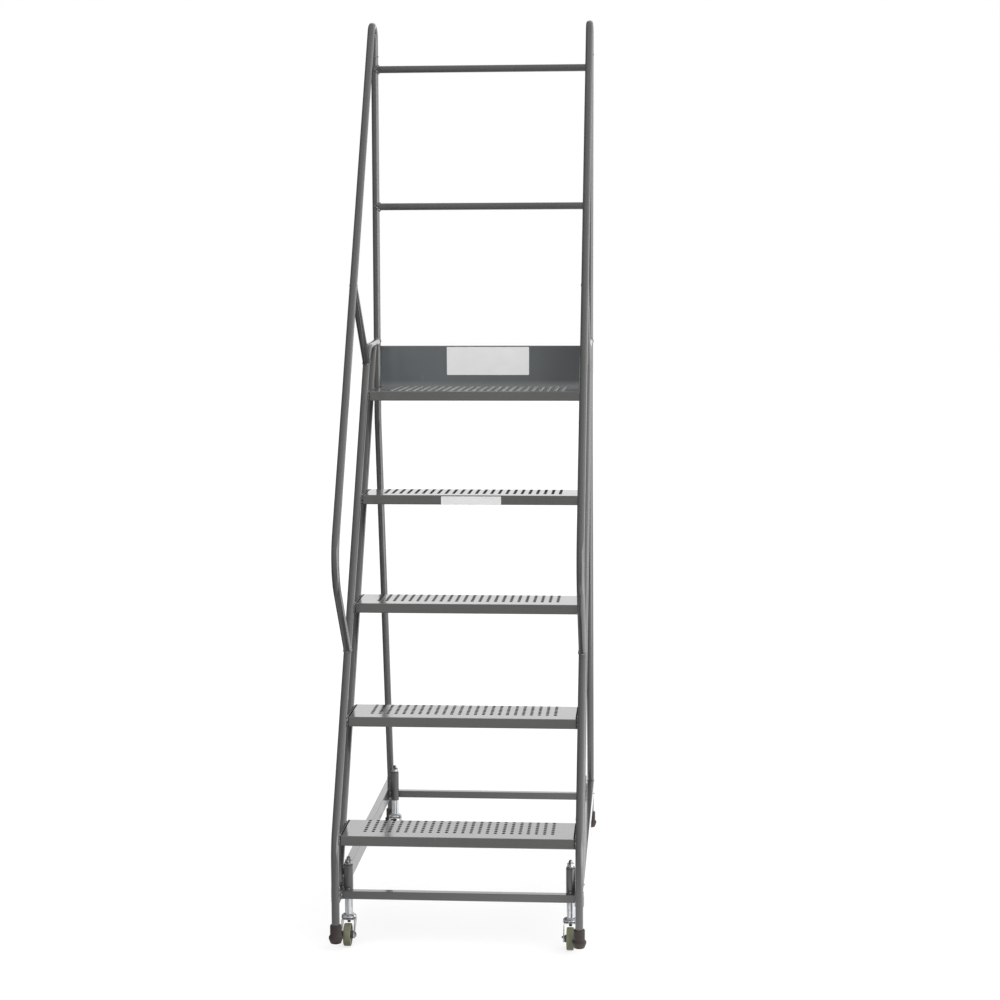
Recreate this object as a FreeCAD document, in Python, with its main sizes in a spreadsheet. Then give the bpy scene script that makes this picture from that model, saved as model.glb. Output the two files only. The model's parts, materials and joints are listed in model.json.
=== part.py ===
import FreeCAD, Part
import math
import os
import Sketcher

# Mobile ladder stand: four treads and a platform on two bent-tube side frames,
# standing on four spring-loaded swivel castors with four rubber-shod feet above the floor.
# +Z is up, +Y points from the climbing side to the rear guard, X runs across the treads.
# The origin is the centre of the footprint, on the floor the unloaded wheels stand on.

doc = FreeCAD.newDocument("LadderStand")
dims = doc.addObject("Spreadsheet::Sheet", "Dims")

sizes = [
    ("side_spacing", 575.0, "centre to centre of the two side frames"),
    ("foot_spacing", 1072.0, "front foot axis to rear foot axis"),
    ("tube_dia", 19.0, "outside diameter of every round frame tube"),
    ("tube_wall", 1.5, "wall of round and square tube"),
    ("weld_gap", 0.3, "root gap left at a coped or sleeved tube end"),
    ("rise", 254.0, "height between two levels"),
    ("first_level", 276.0, "top of the lowest tread above the floor"),
    ("lean", 30.0, "lean of the strings from the vertical, degrees"),
    ("bend_corner", 256.0, "height at which the stile leaves the vertical"),
    ("stile_bend", 150.0, "centre-line radius of the lower stile bend"),
    ("guard_bend", 70.0, "centre-line radius where the stile turns into the side guard"),
    ("guard_above", 112.0, "centre of the side guard above the platform where it leaves the lean"),
    ("guard_rise", 10.0, "side guard's rise from there to the rear upright"),
    ("string_offset", 118.0, "rear string behind the stile, measured level"),
    ("rail_offset", 346.0, "handrail in front of the stile, measured level"),
    ("rail_low", 400.0, "handrail's lower end on the stile, above the first level"),
    ("rail_knee", 230.0, "handrail's lower corner above its end on the stile"),
    ("knee_bend", 120.0, "centre-line radius of the handrail's lower corner"),
    ("hoop_bend", 35.0, "centre-line radius of the handrail's top hoop"),
    ("upright_y", 859.0, "rear upright behind the front foot axis"),
    ("hoop_tail", 41.0, "straight end of the handrail below its hoop"),
    ("leg_corner", 89.0, "height at which the rear upright splays, below the platform"),
    ("leg_bend", 200.0, "centre-line radius of the rear splay"),
    ("leg_foot", 3.0, "splayed leg behind the rear foot axis where it meets the base rail"),
    ("strut_low", 41.0, "strut's end on the stile below the side guard"),
    ("strut_rise", 203.0, "strut's end on the handrail above its end on the stile"),
    ("base_bottom", 116.0, "underside of base rails and crossbars"),
    ("base_tall", 38.0, "height of the base rail tube"),
    ("base_wide", 19.0, "width of the base rail tube"),
    ("base_end", 13.0, "rear end of the base rail behind the rear foot axis"),
    ("bar_size", 19.0, "side of the square crossbar tube"),
    ("mid_rail", 483.0, "middle guard rail above the platform"),
    ("top_rail", 846.0, "top guard rail above the platform"),
    ("sheet", 1.5, "thickness of treads, platform and toe board"),
    ("fold", 2.5, "outside radius of a sheet fold"),
    ("tread_front", 10.0, "first tread's front face behind the front foot axis"),
    ("tread_depth", 149.0, "front to back depth of a tread"),
    ("tread_flange", 24.0, "height of the folded front and rear flanges"),
    ("tread_lip", 9.0, "inward return at the foot of each flange"),
    ("grip_dia", 7.0, "punched grip hole"),
    ("grip_pitch", 19.4, "grip holes apart across the tread"),
    ("grip_row", 16.0, "rows of grip holes apart, front to rear"),
    ("grip_front", 46.0, "front row of grip holes behind the front flange"),
    ("grip_rear", 6.5, "least distance of the rear row from the rear flange"),
    ("grip_side", 54.0, "least distance of an outer grip hole from the tread's end"),
    ("toe_top", 110.0, "top edge of the toe board above the platform"),
    ("toe_return", 14.0, "rearward fold along the top of the toe board"),
    ("foot_bottom", 20.0, "underside of the rubber feet above the floor"),
    ("foot_tall", 44.0, "height of a rubber foot"),
    ("foot_dia", 27.0, "body diameter of a rubber foot"),
    ("foot_lip", 33.5, "diameter of the moulded lip"),
    ("foot_base", 25.0, "diameter of the tread face of the foot"),
    ("foot_sole", 6.0, "rubber under the tube end"),
    ("castor_inset", 22.5, "castor axis inboard of its side frame"),
    ("front_castor", 65.0, "front castor axis behind the front foot axis"),
    ("rear_castor", 85.0, "rear castor axis in front of the rear foot axis"),
    ("sleeve_dia", 22.0, "outside diameter of the castor sleeve"),
    ("sleeve_bore", 19.0, "bore of the castor sleeve"),
    ("sleeve_low", 112.0, "lower end of the castor sleeve"),
    ("sleeve_high", 194.0, "upper face of the sleeve's cap"),
    ("cap_thick", 3.0, "thickness of the sleeve's cap"),
    ("fit_gap", 0.05, "radial clearance of every sliding or turning fit"),
    ("face_gap", 0.3, "clearance between faces that turn on each other"),
    ("rod_dia", 10.0, "diameter of the threaded rod above the stem"),
    ("stem_high", 134.0, "top of the sliding stem at rest"),
    ("rod_high", 212.0, "top of the threaded rod at rest"),
    ("stem_low", 72.0, "bottom of the sliding stem"),
    ("race_split", 65.5, "height at which the two ball races meet"),
    ("race_dia", 37.0, "diameter of the lower ball race"),
    ("pin_dia", 8.0, "kingpin and axle diameter"),
    ("pin_head", 25.0, "diameter of the kingpin's dished head"),
    ("head_thick", 5.0, "depth of that head"),
    ("pin_end", 3.0, "riveted end of the kingpin below its head"),
    ("crown_low", 60.0, "underside of the fork crown"),
    ("crown_thick", 3.0, "thickness of the fork crown"),
    ("crown_reach", 14.0, "fork crown in front of and behind the kingpin"),
    ("crown_bend", 4.0, "outside radius from the crown into a fork leg"),
    ("fork_wide", 33.0, "width over the fork legs"),
    ("fork_plate", 2.5, "thickness of a fork leg"),
    ("fork_round", 9.0, "radius of the fork leg round the axle"),
    ("trail", 22.0, "wheel axle in front of the swivel axis"),
    ("wheel_dia", 54.0, "castor wheel diameter"),
    ("wheel_wide", 17.0, "castor wheel tread width"),
    ("hub_dia", 18.0, "castor wheel hub diameter"),
    ("wire_dia", 2.4, "spring wire diameter"),
    ("coil_dia", 14.6, "mean diameter of the spring"),
    ("coil_count", 5.0, "turns of the spring"),
    ("washer_dia", 20.0, "washer under the retaining nut"),
    ("washer_thick", 1.8, "thickness of that washer"),
    ("nut_flats", 16.0, "retaining nut across flats"),
    ("nut_tall", 8.2, "height of the retaining nut"),
    ("axle_flats", 11.0, "axle head and nut across flats"),
    ("axle_head", 4.0, "height of the axle head and nut"),
]
for row, (alias, value, note) in enumerate(sizes, start=1):
    dims.set("A%d" % row, alias)
    dims.set("B%d" % row, str(value))
    dims.set("C%d" % row, note)
    dims.setAlias("B%d" % row, alias)
doc.recompute()

# Expressions shared by several sub-parts, written once.
slope = "tan(Dims.lean * 1 deg)"
stile_y = "(%s - Dims.bend_corner) * " + slope
tube_r = "Dims.tube_dia / 2"
cope_r = "(Dims.tube_dia / 2 + Dims.weld_gap)"
clear_width = "(Dims.side_spacing - Dims.tube_dia)"
base_top = "(Dims.base_bottom + Dims.base_tall)"
tube_foot = "(Dims.foot_bottom + Dims.foot_sole)"
plunge_r = "(Dims.sleeve_bore / 2 - Dims.fit_gap)"
pin_bore = "(Dims.pin_dia / 2 + Dims.fit_gap)"
cap_low = "(Dims.sleeve_high - Dims.cap_thick)"
platform_front = "(Dims.tread_front + Dims.rise * 4 * " + slope + ")"
platform_top = "(Dims.first_level + Dims.rise * 4)"
guard_z = "(" + platform_top + " + Dims.guard_above)"
guard_pitch = "(Dims.guard_rise / (Dims.upright_y - " + stile_y % guard_z + "))"
hoop_z = "((Dims.upright_y + Dims.rail_offset) / " + slope + " + Dims.bend_corner)"
upright_top = "(" + hoop_z + " - Dims.hoop_bend / tan(Dims.lean * 0.5 deg) - Dims.hoop_tail)"
rear_castor_y = "(Dims.foot_spacing - Dims.rear_castor)"


def number(text):
    """Value of an expression over the table of sizes."""
    return float(dims.evalExpression("(" + text + ") * 1.0"))


def plane(body, role):
    """Origin plane of a body, by its role."""
    for feature in body.Origin.OriginFeatures:
        if feature.Role == role:
            return feature
    raise ValueError(role)


def new_body(label, x="0", y="-Dims.foot_spacing / 2", z="0"):
    """Body whose placement follows the table of sizes."""
    body = doc.addObject("PartDesign::Body", label)
    body.Label = label
    for axis, text in (("x", x), ("y", y), ("z", z)):
        if text != "0":
            body.setExpression("Placement.Base." + axis, text)
    return body


def new_sketch(body, role, offset=None, turn=None):
    """Sketch on one of the body's own origin planes; offset in plane axes, turn about its X."""
    sketch = body.newObject("Sketcher::SketchObject", body.Name + "_sketch")
    sketch.AttachmentSupport = (plane(body, role), [""])
    sketch.MapMode = "FlatFace"
    if turn is not None:
        sketch.AttachmentOffset = FreeCAD.Placement(
            FreeCAD.Vector(), FreeCAD.Rotation(FreeCAD.Vector(1, 0, 0), number(turn)))
        sketch.setExpression("AttachmentOffset.Rotation.Angle", "(" + turn + ") * 1 deg")
    for axis, text in zip("xyz", offset or ()):
        if text != "0":
            sketch.setExpression("AttachmentOffset.Base." + axis, text)
    return sketch


def drive(sketch, kind, *rest):
    """Dimension whose last argument is the expression that sets it."""
    index = sketch.addConstraint(Sketcher.Constraint(kind, *rest[:-1], number(rest[-1])))
    sketch.setExpression("Constraints[%d]" % index, rest[-1])


def pin_point(sketch, geometry, end, x, y):
    """Fix a point at two expressions; "0" puts it on the axis."""
    for kind, axis, text in (("DistanceX", -2, x), ("DistanceY", -1, y)):
        if text == "0":
            sketch.addConstraint(Sketcher.Constraint("PointOnObject", geometry, end, axis))
        else:
            drive(sketch, kind, -1, 1, geometry, end, text)


def add_polygon(sketch, corners):
    """Closed polygon with every corner dimensioned from the origin."""
    points = [FreeCAD.Vector(number(x), number(y), 0) for x, y in corners]
    count = len(points)
    lines = [sketch.addGeometry(Part.LineSegment(points[i], points[(i + 1) % count]), False)
             for i in range(count)]
    for i in range(count):
        following = lines[(i + 1) % count]
        sketch.addConstraint(Sketcher.Constraint("Coincident", lines[i], 2, following, 1))
    for line, (x, y) in zip(lines, corners):
        pin_point(sketch, line, 1, x, y)


def add_circle(sketch, radius, x="0", y="0"):
    """Circle with its radius and centre dimensioned."""
    centre = FreeCAD.Vector(number(x), number(y), 0)
    circle = Part.Circle(centre, FreeCAD.Vector(0, 0, 1), number(radius))
    index = sketch.addGeometry(circle, False)
    drive(sketch, "Radius", index, radius)
    if x == "0" and y == "0":
        sketch.addConstraint(Sketcher.Constraint("Coincident", index, 3, -1, 1))
    else:
        pin_point(sketch, index, 3, x, y)


def add_path(sketch, corners, radii):
    """Open path of straight lines through dimensioned corners, joined by tangent arcs."""
    points = [FreeCAD.Vector(number(x), number(y), 0) for x, y in corners]
    starts = [points[0]]
    ends = []
    arcs = []
    for i, radius in enumerate(radii, start=1):
        back = (points[i - 1] - points[i]).normalize()
        ahead = (points[i + 1] - points[i]).normalize()
        half = back.getAngle(ahead) / 2
        reach = number(radius) / math.tan(half)
        middle = (back + ahead).normalize()
        centre = points[i] + middle * (number(radius) / math.sin(half))
        before = points[i] + back * reach
        after = points[i] + ahead * reach
        left = back.cross(ahead).z < 0
        first, last = (before, after) if left else (after, before)
        arcs.append((centre, number(radius), first, last, left))
        ends.append(before)
        starts.append(after)
    ends.append(points[-1])
    lines = [sketch.addGeometry(Part.LineSegment(a, b), False) for a, b in zip(starts, ends)]
    for i, (centre, radius, first, last, left) in enumerate(arcs):
        middle = centre + ((first - centre) + (last - centre)).normalize() * radius
        arc = sketch.addGeometry(Part.Arc(first, middle, last), False)
        enter, leave = (1, 2) if left else (2, 1)
        sketch.addConstraint(Sketcher.Constraint("Tangent", lines[i], 2, arc, enter))
        sketch.addConstraint(Sketcher.Constraint("Tangent", lines[i + 1], 1, arc, leave))
        drive(sketch, "Radius", arc, radii[i])
        corner = sketch.addGeometry(Part.Point(points[i + 1]), True)
        sketch.addConstraint(Sketcher.Constraint("PointOnObject", corner, 1, lines[i]))
        sketch.addConstraint(Sketcher.Constraint("PointOnObject", corner, 1, lines[i + 1]))
        pin_point(sketch, corner, 1, *corners[i + 1])
    pin_point(sketch, lines[0], 1, *corners[0])
    pin_point(sketch, lines[-1], 2, *corners[-1])


def pad(body, sketch, length, midplane=False, reverse=False):
    feature = body.newObject("PartDesign::Pad", body.Name + "_pad")
    feature.Profile = sketch
    feature.setExpression("Length", length)
    if midplane:
        feature.SideType = "Symmetric"
    feature.Reversed = reverse
    return feature


def pocket(body, sketch, length, midplane=True, reverse=False):
    """Pocket that is checked to have removed something."""
    doc.recompute()
    before = body.Shape.Volume
    feature = body.newObject("PartDesign::Pocket", body.Name + "_pocket")
    feature.Profile = sketch
    feature.setExpression("Length", length)
    if midplane:
        feature.SideType = "Symmetric"
    feature.Reversed = reverse
    doc.recompute()
    if not body.Shape.Volume < before - 0.1:
        raise ValueError(body.Label + " was not cut")
    return feature


def revolve(body, sketch, axis="V_Axis"):
    feature = body.newObject("PartDesign::Revolution", body.Name + "_turn")
    feature.Profile = sketch
    feature.ReferenceAxis = (sketch, [axis])
    feature.Angle = 360.0
    return feature


def cope_upright(body, y):
    """Fit a tube end round a vertical tube standing at y."""
    sketch = new_sketch(body, "XY_Plane", offset=("0", y, "0"))
    add_circle(sketch, cope_r)
    pocket(body, sketch, platform_top + " * 4")


def cope_leaning(body, y, z):
    """Fit a tube end round a tube that leans with the strings through (y, z)."""
    sketch = new_sketch(body, "XY_Plane", offset=("0", y, z), turn="-Dims.lean")
    add_circle(sketch, cope_r)
    pocket(body, sketch, "Dims.tube_dia * 8")


def trim_below(body, y, z):
    """Cut away everything under the level z near y."""
    sketch = new_sketch(body, "YZ_Plane")
    near = "(" + y + ")"
    add_polygon(sketch, [
        (near + " - Dims.tube_dia * 2", z + " - Dims.tube_dia * 2"),
        (near + " + Dims.tube_dia * 2", z + " - Dims.tube_dia * 2"),
        (near + " + Dims.tube_dia * 2", z),
        (near + " - Dims.tube_dia * 2", z)])
    pocket(body, sketch, "Dims.tube_dia * 3")


def add_ring(sketch):
    """Section of the round frame tube."""
    add_circle(sketch, tube_r)
    add_circle(sketch, "Dims.tube_dia / 2 - Dims.tube_wall")


def bent_tube(label, x, corners, radii, turn=None):
    """Round tube along bends in the upright plane of its side frame."""
    body = new_body(label, x)
    path = new_sketch(body, "YZ_Plane")
    add_path(path, corners, radii)
    section = new_sketch(body, "XY_Plane", offset=("0",) + corners[0], turn=turn)
    add_ring(section)
    doc.recompute()
    pipe = body.newObject("PartDesign::AdditivePipe", label + "_pipe")
    pipe.Profile = section
    pipe.Spine = (path, ["Edge%d" % (i + 1) for i in range(len(path.Shape.Edges))])
    return body


def leaning_tube(label, x, start, length, turn):
    """Straight round tube in a side frame, from start along its lean."""
    body = new_body(label, x)
    section = new_sketch(body, "XY_Plane", offset=("0",) + start, turn=turn)
    add_ring(section)
    pad(body, section, length)
    return body


def folded_tray(label, front, top, depth):
    """Sheet folded down on all four sides, returned under front and rear, with grip holes."""
    body = new_body(label, "0", "-Dims.foot_spacing / 2 + " + front, top)
    low = "-Dims.tread_flange"
    section = new_sketch(body, "YZ_Plane")
    add_polygon(section, [("0", "0"), ("0", low), (depth, low), (depth, "0")])
    block = pad(body, section, clear_width, midplane=True)
    doc.recompute()
    edges = []
    for i, edge in enumerate(block.Shape.Edges, start=1):
        box = edge.BoundBox
        if abs(box.ZMin) < 0.01 or (box.XLength > 100 and abs(box.ZMax - number(low)) < 0.01):
            edges.append("Edge%d" % i)
    rounding = body.newObject("PartDesign::Fillet", label + "_fold")
    rounding.Base = (block, edges)
    rounding.setExpression("Radius", "Dims.fold")
    inner = depth + " - Dims.sheet"
    ledge = low + " + Dims.sheet"
    hollow = new_sketch(body, "YZ_Plane")
    add_polygon(hollow, [
        ("Dims.tread_lip", low), ("Dims.tread_lip", ledge), ("Dims.sheet", ledge),
        ("Dims.sheet", "-Dims.sheet"), (inner, "-Dims.sheet"), (inner, ledge),
        (depth + " - Dims.tread_lip", ledge), (depth + " - Dims.tread_lip", low)])
    pocket(body, hollow, clear_width + " - Dims.sheet * 2")
    grip_holes(body, depth)
    return body


def grip_holes(body, depth):
    """One column of punched holes, front to rear, repeated across the sheet."""
    across_spaces = "floor((%s - Dims.grip_side * 2) / Dims.grip_pitch)" % clear_width
    deep_spaces = "floor((%s - Dims.grip_front - Dims.grip_rear) / Dims.grip_row)" % depth
    column = new_sketch(body, "XY_Plane")
    for row in range(int(number(deep_spaces)) + 1):
        add_circle(column, "Dims.grip_dia / 2", "-" + across_spaces + " * Dims.grip_pitch / 2",
                   "Dims.grip_front + Dims.grip_row * %d" % row)
    punched = pocket(body, column, "Dims.sheet * 4")
    across = body.newObject("PartDesign::LinearPattern", body.Name + "_grip")
    across.Originals = [punched]
    across.Direction = (column, ["H_Axis"])
    across.Mode = "Spacing"
    across.setExpression("Offset", "Dims.grip_pitch")
    across.setExpression("Occurrences", across_spaces + " + 1")
    body.Tip = across


def cross_bar(label, front):
    """Square tube between the two base rails."""
    body = new_body(label, "0", "-Dims.foot_spacing / 2 + " + front, "Dims.base_bottom")
    section = new_sketch(body, "YZ_Plane")
    side = "Dims.bar_size"
    inner = side + " - Dims.tube_wall"
    add_polygon(section, [("0", "0"), (side, "0"), (side, side), ("0", side)])
    add_polygon(section, [("Dims.tube_wall", "Dims.tube_wall"), (inner, "Dims.tube_wall"),
                          (inner, inner), ("Dims.tube_wall", inner)])
    pad(body, section, clear_width, midplane=True)
    return body


def guard_rail(label, height):
    """Round tube between the two rear uprights, coped on both."""
    body = new_body(label, "0", "Dims.upright_y - Dims.foot_spacing / 2", height)
    section = new_sketch(body, "YZ_Plane")
    add_ring(section)
    pad(body, section, "Dims.side_spacing", midplane=True)
    for side in ("-", ""):
        cope = new_sketch(body, "XY_Plane")
        cope.setExpression("AttachmentOffset.Base.x", side + "Dims.side_spacing / 2")
        add_circle(cope, cope_r)
        pocket(body, cope, "Dims.tube_dia * 4")
    return body


def coil_shape():
    """Open coil of six-sided wire in short straight runs, standing on the stem's shoulder."""
    runs = 14 * int(number("Dims.coil_count"))
    mean = number("Dims.coil_dia / 2")
    wire = number("Dims.wire_dia / 2")
    start = number("Dims.wire_dia / 2 + Dims.face_gap")
    tall = number(cap_low + " - Dims.stem_high") - start * 2
    turn = 2 * math.pi * int(number("Dims.coil_count")) / runs
    path = [FreeCAD.Vector(mean * math.cos(turn * i), mean * math.sin(turn * i),
                           start + tall * i / runs) for i in range(runs + 1)]
    along = (path[1] - path[0]).normalize()
    side = along.cross(FreeCAD.Vector(1, 0, 0)).normalize()
    out = side.cross(along)
    ring = [path[0] + out * (wire * math.cos(math.pi * k / 3)) +
            side * (wire * math.sin(math.pi * k / 3)) for k in range(7)]
    sweep = Part.BRepOffsetAPI.MakePipeShell(Part.makePolygon(path))
    sweep.setTransitionMode(1)
    sweep.add(Part.makePolygon(ring))
    sweep.build()
    sweep.makeSolid()
    return sweep.shape()


nodes = []

for side, x in (("left", "-Dims.side_spacing / 2"), ("right", "Dims.side_spacing / 2")):
    # Stile: foot, lean, then back along the platform as the side guard.
    stile = bent_tube("stile_" + side, x, [
        ("0", tube_foot), ("0", "Dims.bend_corner"),
        (stile_y % guard_z, guard_z),
        ("Dims.upright_y", guard_z + " + Dims.guard_rise")],
        ["Dims.stile_bend", "Dims.guard_bend"])
    cope_upright(stile, "Dims.upright_y")
    nodes.append(stile)

    # Rear string: parallel to the stile, from the base rail up to the side guard.
    low = "(" + base_top + " - Dims.tube_dia / 2)"
    top = "(%s + Dims.string_offset * %s / (1 - %s * %s))" % (
        guard_z, guard_pitch, guard_pitch, slope)
    string_y = stile_y + " + Dims.string_offset"
    string = leaning_tube("rear_string_" + side, x, (string_y % low, low),
                          "(" + top + " - " + low + ") / cos(Dims.lean * 1 deg)",
                          "-Dims.lean")
    trim_below(string, string_y % low, base_top)
    along = new_sketch(string, "XZ_Plane", offset=("0", top, "-(" + string_y % top + ")"),
                       turn="atan(" + guard_pitch + ") / 1 deg")
    add_circle(along, cope_r)
    pocket(string, along, "Dims.tube_dia * 8")
    nodes.append(string)

    # Handrail: off the stile, round the knee, up the lean and over the hoop.
    rail_y = stile_y + " - Dims.rail_offset"
    rail_z = "(Dims.first_level + Dims.rail_low)"
    knee_z = "(" + rail_z + " + Dims.rail_knee)"
    knee = (rail_y % knee_z, knee_z)
    start = (stile_y % rail_z, rail_z)
    turn = "atan((%s - (%s)) / (%s - %s)) / 1 deg" % (start[0], knee[0], knee[1], start[1])
    handrail = bent_tube("handrail_" + side, x, [
        start, knee, ("Dims.upright_y", hoop_z), ("Dims.upright_y", upright_top)],
        ["Dims.knee_bend", "Dims.hoop_bend"], turn=turn)
    cope_leaning(handrail, *start)
    nodes.append(handrail)

    # Rear upright, splayed below the platform down to the base rail.
    leg_y = "(Dims.foot_spacing + Dims.leg_foot)"
    leg = bent_tube("rear_leg_" + side, x, [
        ("Dims.upright_y", upright_top),
        ("Dims.upright_y", platform_top + " - Dims.leg_corner"),
        (leg_y, base_top + " - Dims.tube_dia / 2")], ["Dims.leg_bend"])
    trim_below(leg, leg_y, base_top)
    nodes.append(leg)

    # Strut from the handrail down to the stile.
    low = "(" + guard_z + " - Dims.strut_low)"
    top = "(" + low + " + Dims.strut_rise)"
    high = (rail_y % top, top)
    foot = (stile_y % low, low)
    across = "((%s) - (%s))" % (foot[0], high[0])
    down = "Dims.strut_rise"
    strut = leaning_tube("handrail_strut_" + side, x, foot,
                         "sqrt(%s ^ 2 + %s ^ 2)" % (across, down),
                         "atan(%s / %s) / 1 deg" % (across, down))
    cope_leaning(strut, *high)
    cope_leaning(strut, *foot)
    nodes.append(strut)

    # Base rail: rectangular tube from the stile back past the rear foot.
    rail = new_body("base_rail_" + side, x)
    section = new_sketch(rail, "XZ_Plane", offset=("0", "0", "-Dims.tube_dia / 4"))
    half = "Dims.base_wide / 2"
    within = "(" + half + " - Dims.tube_wall)"
    floor = "Dims.base_bottom + Dims.tube_wall"
    roof = base_top + " - Dims.tube_wall"
    add_polygon(section, [("-" + half, "Dims.base_bottom"), (half, "Dims.base_bottom"),
                          (half, base_top), ("-" + half, base_top)])
    add_polygon(section, [("-" + within, floor), (within, floor), (within, roof),
                          ("-" + within, roof)])
    pad(rail, section, "Dims.foot_spacing + Dims.base_end - Dims.tube_dia / 4", reverse=True)
    cope_upright(rail, "0")
    nodes.append(rail)

    # Rear foot post under the end of the base rail.
    post = new_body("rear_post_" + side, x, "Dims.foot_spacing / 2", tube_foot)
    section = new_sketch(post, "XY_Plane")
    add_ring(section)
    pad(post, section, "Dims.base_bottom - " + tube_foot)
    nodes.append(post)

for level in range(4):
    step = "Dims.rise * %d" % level
    nodes.append(folded_tray("tread_%d" % (level + 1),
                             "Dims.tread_front + " + step + " * " + slope,
                             "Dims.first_level + " + step, "Dims.tread_depth"))

nodes.append(folded_tray("platform", platform_front, platform_top,
                         "(Dims.upright_y - Dims.sheet - " + platform_front + ")"))

# Toe board: upright sheet behind the platform with a rearward fold along its top.
toe = new_body("toe_board", "0", "Dims.upright_y - Dims.sheet - Dims.foot_spacing / 2",
               platform_top + " - Dims.tread_flange")
section = new_sketch(toe, "YZ_Plane")
toe_tall = "(Dims.toe_top + Dims.tread_flange)"
add_polygon(section, [
    ("0", "0"), ("Dims.sheet", "0"), ("Dims.sheet", toe_tall + " - Dims.sheet"),
    ("Dims.toe_return", toe_tall + " - Dims.sheet"), ("Dims.toe_return", toe_tall),
    ("0", toe_tall)])
pad(toe, section, clear_width, midplane=True)
nodes.append(toe)

nodes.append(cross_bar("front_crossbar",
                       "Dims.front_castor - Dims.sleeve_dia / 2 - Dims.bar_size"))
nodes.append(cross_bar("rear_crossbar", rear_castor_y + " + Dims.sleeve_dia / 2"))
nodes.append(guard_rail("mid_guard_rail", platform_top + " + Dims.mid_rail"))
nodes.append(guard_rail("top_guard_rail", platform_top + " + Dims.top_rail"))

corners = []
for end, castor_y, foot_y in (("front", "Dims.front_castor", "-Dims.foot_spacing / 2"),
                              ("rear", rear_castor_y, "Dims.foot_spacing / 2")):
    for side, sign in (("left", "-"), ("right", "")):
        corners.append((end + "_" + side,
                        sign + "(Dims.side_spacing / 2 - Dims.castor_inset)",
                        castor_y + " - Dims.foot_spacing / 2",
                        sign + "Dims.side_spacing / 2", foot_y))

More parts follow.
